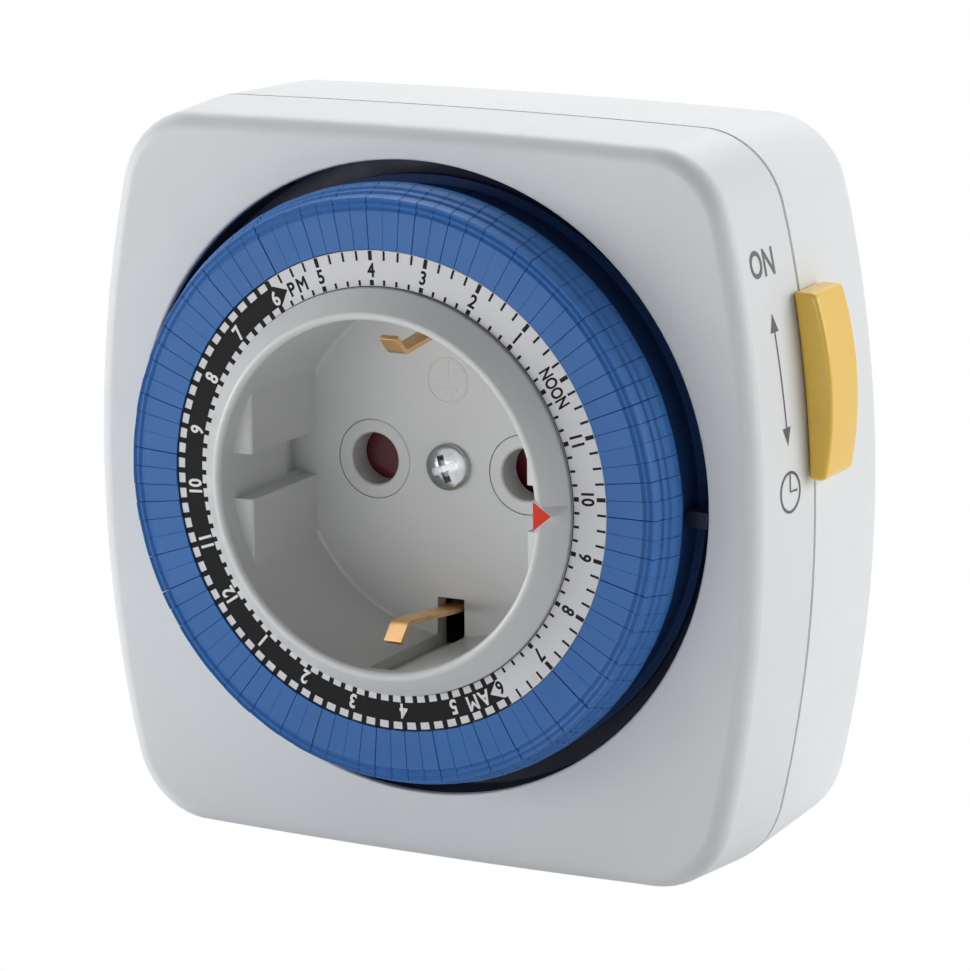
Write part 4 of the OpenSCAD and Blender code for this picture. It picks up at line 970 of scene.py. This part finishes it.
# ---- floor, light and camera ----
# A white floor that still takes the shadow, soft light from the right, the top and the left with
# a little from low in front, and the camera at its place to the right of the dial.

FLOOR_Z = cad_box[0][2]
FLOOR_SIZE, FLOOR_GAP = 6, 0.0002
WORLD_ON_OBJECT, WORLD_SEEN = 0.11, 1.0


def seen_by(tree, *rays):
    """1 for the kinds of ray that are named and 0 for the others."""
    path = tree.nodes.new("ShaderNodeLightPath")
    total = path.outputs[rays[0]]
    for ray in rays[1:]:
        add = tree.nodes.new("ShaderNodeMath")
        add.operation = "ADD"
        add.use_clamp = True
        tree.links.new(total, add.inputs[0])
        tree.links.new(path.outputs[ray], add.inputs[1])
        total = add.outputs["Value"]
    return total


floor_paint = bpy.data.materials.new("floor_paint")
floor_paint.use_nodes = True
tree = floor_paint.node_tree
paint = tree.nodes["Principled BSDF"]
paint.inputs["Base Color"].default_value = (0.9, 0.9, 0.9, 1)
paint.inputs["Roughness"].default_value = 0.7
glow = tree.nodes.new("ShaderNodeEmission")
glow.inputs["Strength"].default_value = 1.0
blend = tree.nodes.new("ShaderNodeMixShader")
tree.links.new(seen_by(tree, "Is Camera Ray", "Is Glossy Ray"), blend.inputs["Fac"])
tree.links.new(paint.outputs["BSDF"], blend.inputs[1])
tree.links.new(glow.outputs["Emission"], blend.inputs[2])
tree.links.new(blend.outputs["Shader"], tree.nodes["Material Output"].inputs["Surface"])
clear()
bpy.ops.mesh.primitive_plane_add(size=FLOOR_SIZE, location=(0, 0, FLOOR_Z - FLOOR_GAP))
floor = named("floor")
floor.data.materials.append(floor_paint)

world = bpy.data.worlds.new("studio")
bpy.context.scene.world = world
world.use_nodes = True
tree = world.node_tree
backdrop = tree.nodes["Background"]
backdrop.inputs["Color"].default_value = (1, 1, 1, 1)
seen = seen_by(tree, "Is Camera Ray", "Is Glossy Ray", "Is Transmission Ray")
tree.links.new(spread(tree, seen, 0, 1, WORLD_ON_OBJECT, WORLD_SEEN), backdrop.inputs["Strength"])

# The lamps, each with its place and size in metres and its power in watts.
LIT_AT = Vector((0, -0.02, 0))
for name, place, size, power in (
        ("softbox_right", (0.54, 0.2, 0.2), (0.4, 0.4), 2.15),
        ("softbox_top", (-0.15, 0.3, 0.56), (0.5, 0.5), 3.55),
        ("softbox_left", (-0.6, -0.28, 0.05), (0.45, 0.18), 1.75),
        ("softbox_low", (-0.12, -0.4, -0.015), (0.4, 0.045), 0.32)):
    bpy.ops.object.light_add(type="AREA", location=place)
    lamp = bpy.context.object
    lamp.name = name
    lamp.data.shape = "RECTANGLE"
    lamp.data.size, lamp.data.size_y = size
    lamp.data.energy = power
    lamp.rotation_euler = (LIT_AT - Vector(place)).to_track_quat("-Z", "Y").to_euler()

CAMERA_AT = Vector((0.25698128, -0.51121221, 0.12084569))
AZIMUTH, ELEVATION, ROLL = (math.radians(a) for a in (28.2518219, 12.93458526, -0.52840356))
LENS, SENSOR_W = 183.9159, 36
back = Vector((math.sin(AZIMUTH) * math.cos(ELEVATION), -math.cos(AZIMUTH) * math.cos(ELEVATION),
               math.sin(ELEVATION)))
level_right = (-back).cross(Vector((0, 0, 1))).normalized()
level_up = level_right.cross(-back)
right = math.cos(ROLL) * level_right + math.sin(ROLL) * level_up
up = -math.sin(ROLL) * level_right + math.cos(ROLL) * level_up
bpy.ops.object.camera_add(location=CAMERA_AT)
camera = bpy.context.object
camera.matrix_world = Matrix((
    (right.x, up.x, back.x, CAMERA_AT.x), (right.y, up.y, back.y, CAMERA_AT.y),
    (right.z, up.z, back.z, CAMERA_AT.z), (0, 0, 0, 1)))
camera.data.lens = LENS
camera.data.sensor_width = SENSOR_W
camera.data.sensor_fit = "AUTO"
camera.data.clip_start, camera.data.clip_end = 0.01, 20
bpy.context.scene.camera = camera
bpy.context.scene.view_settings.view_transform = "Standard"
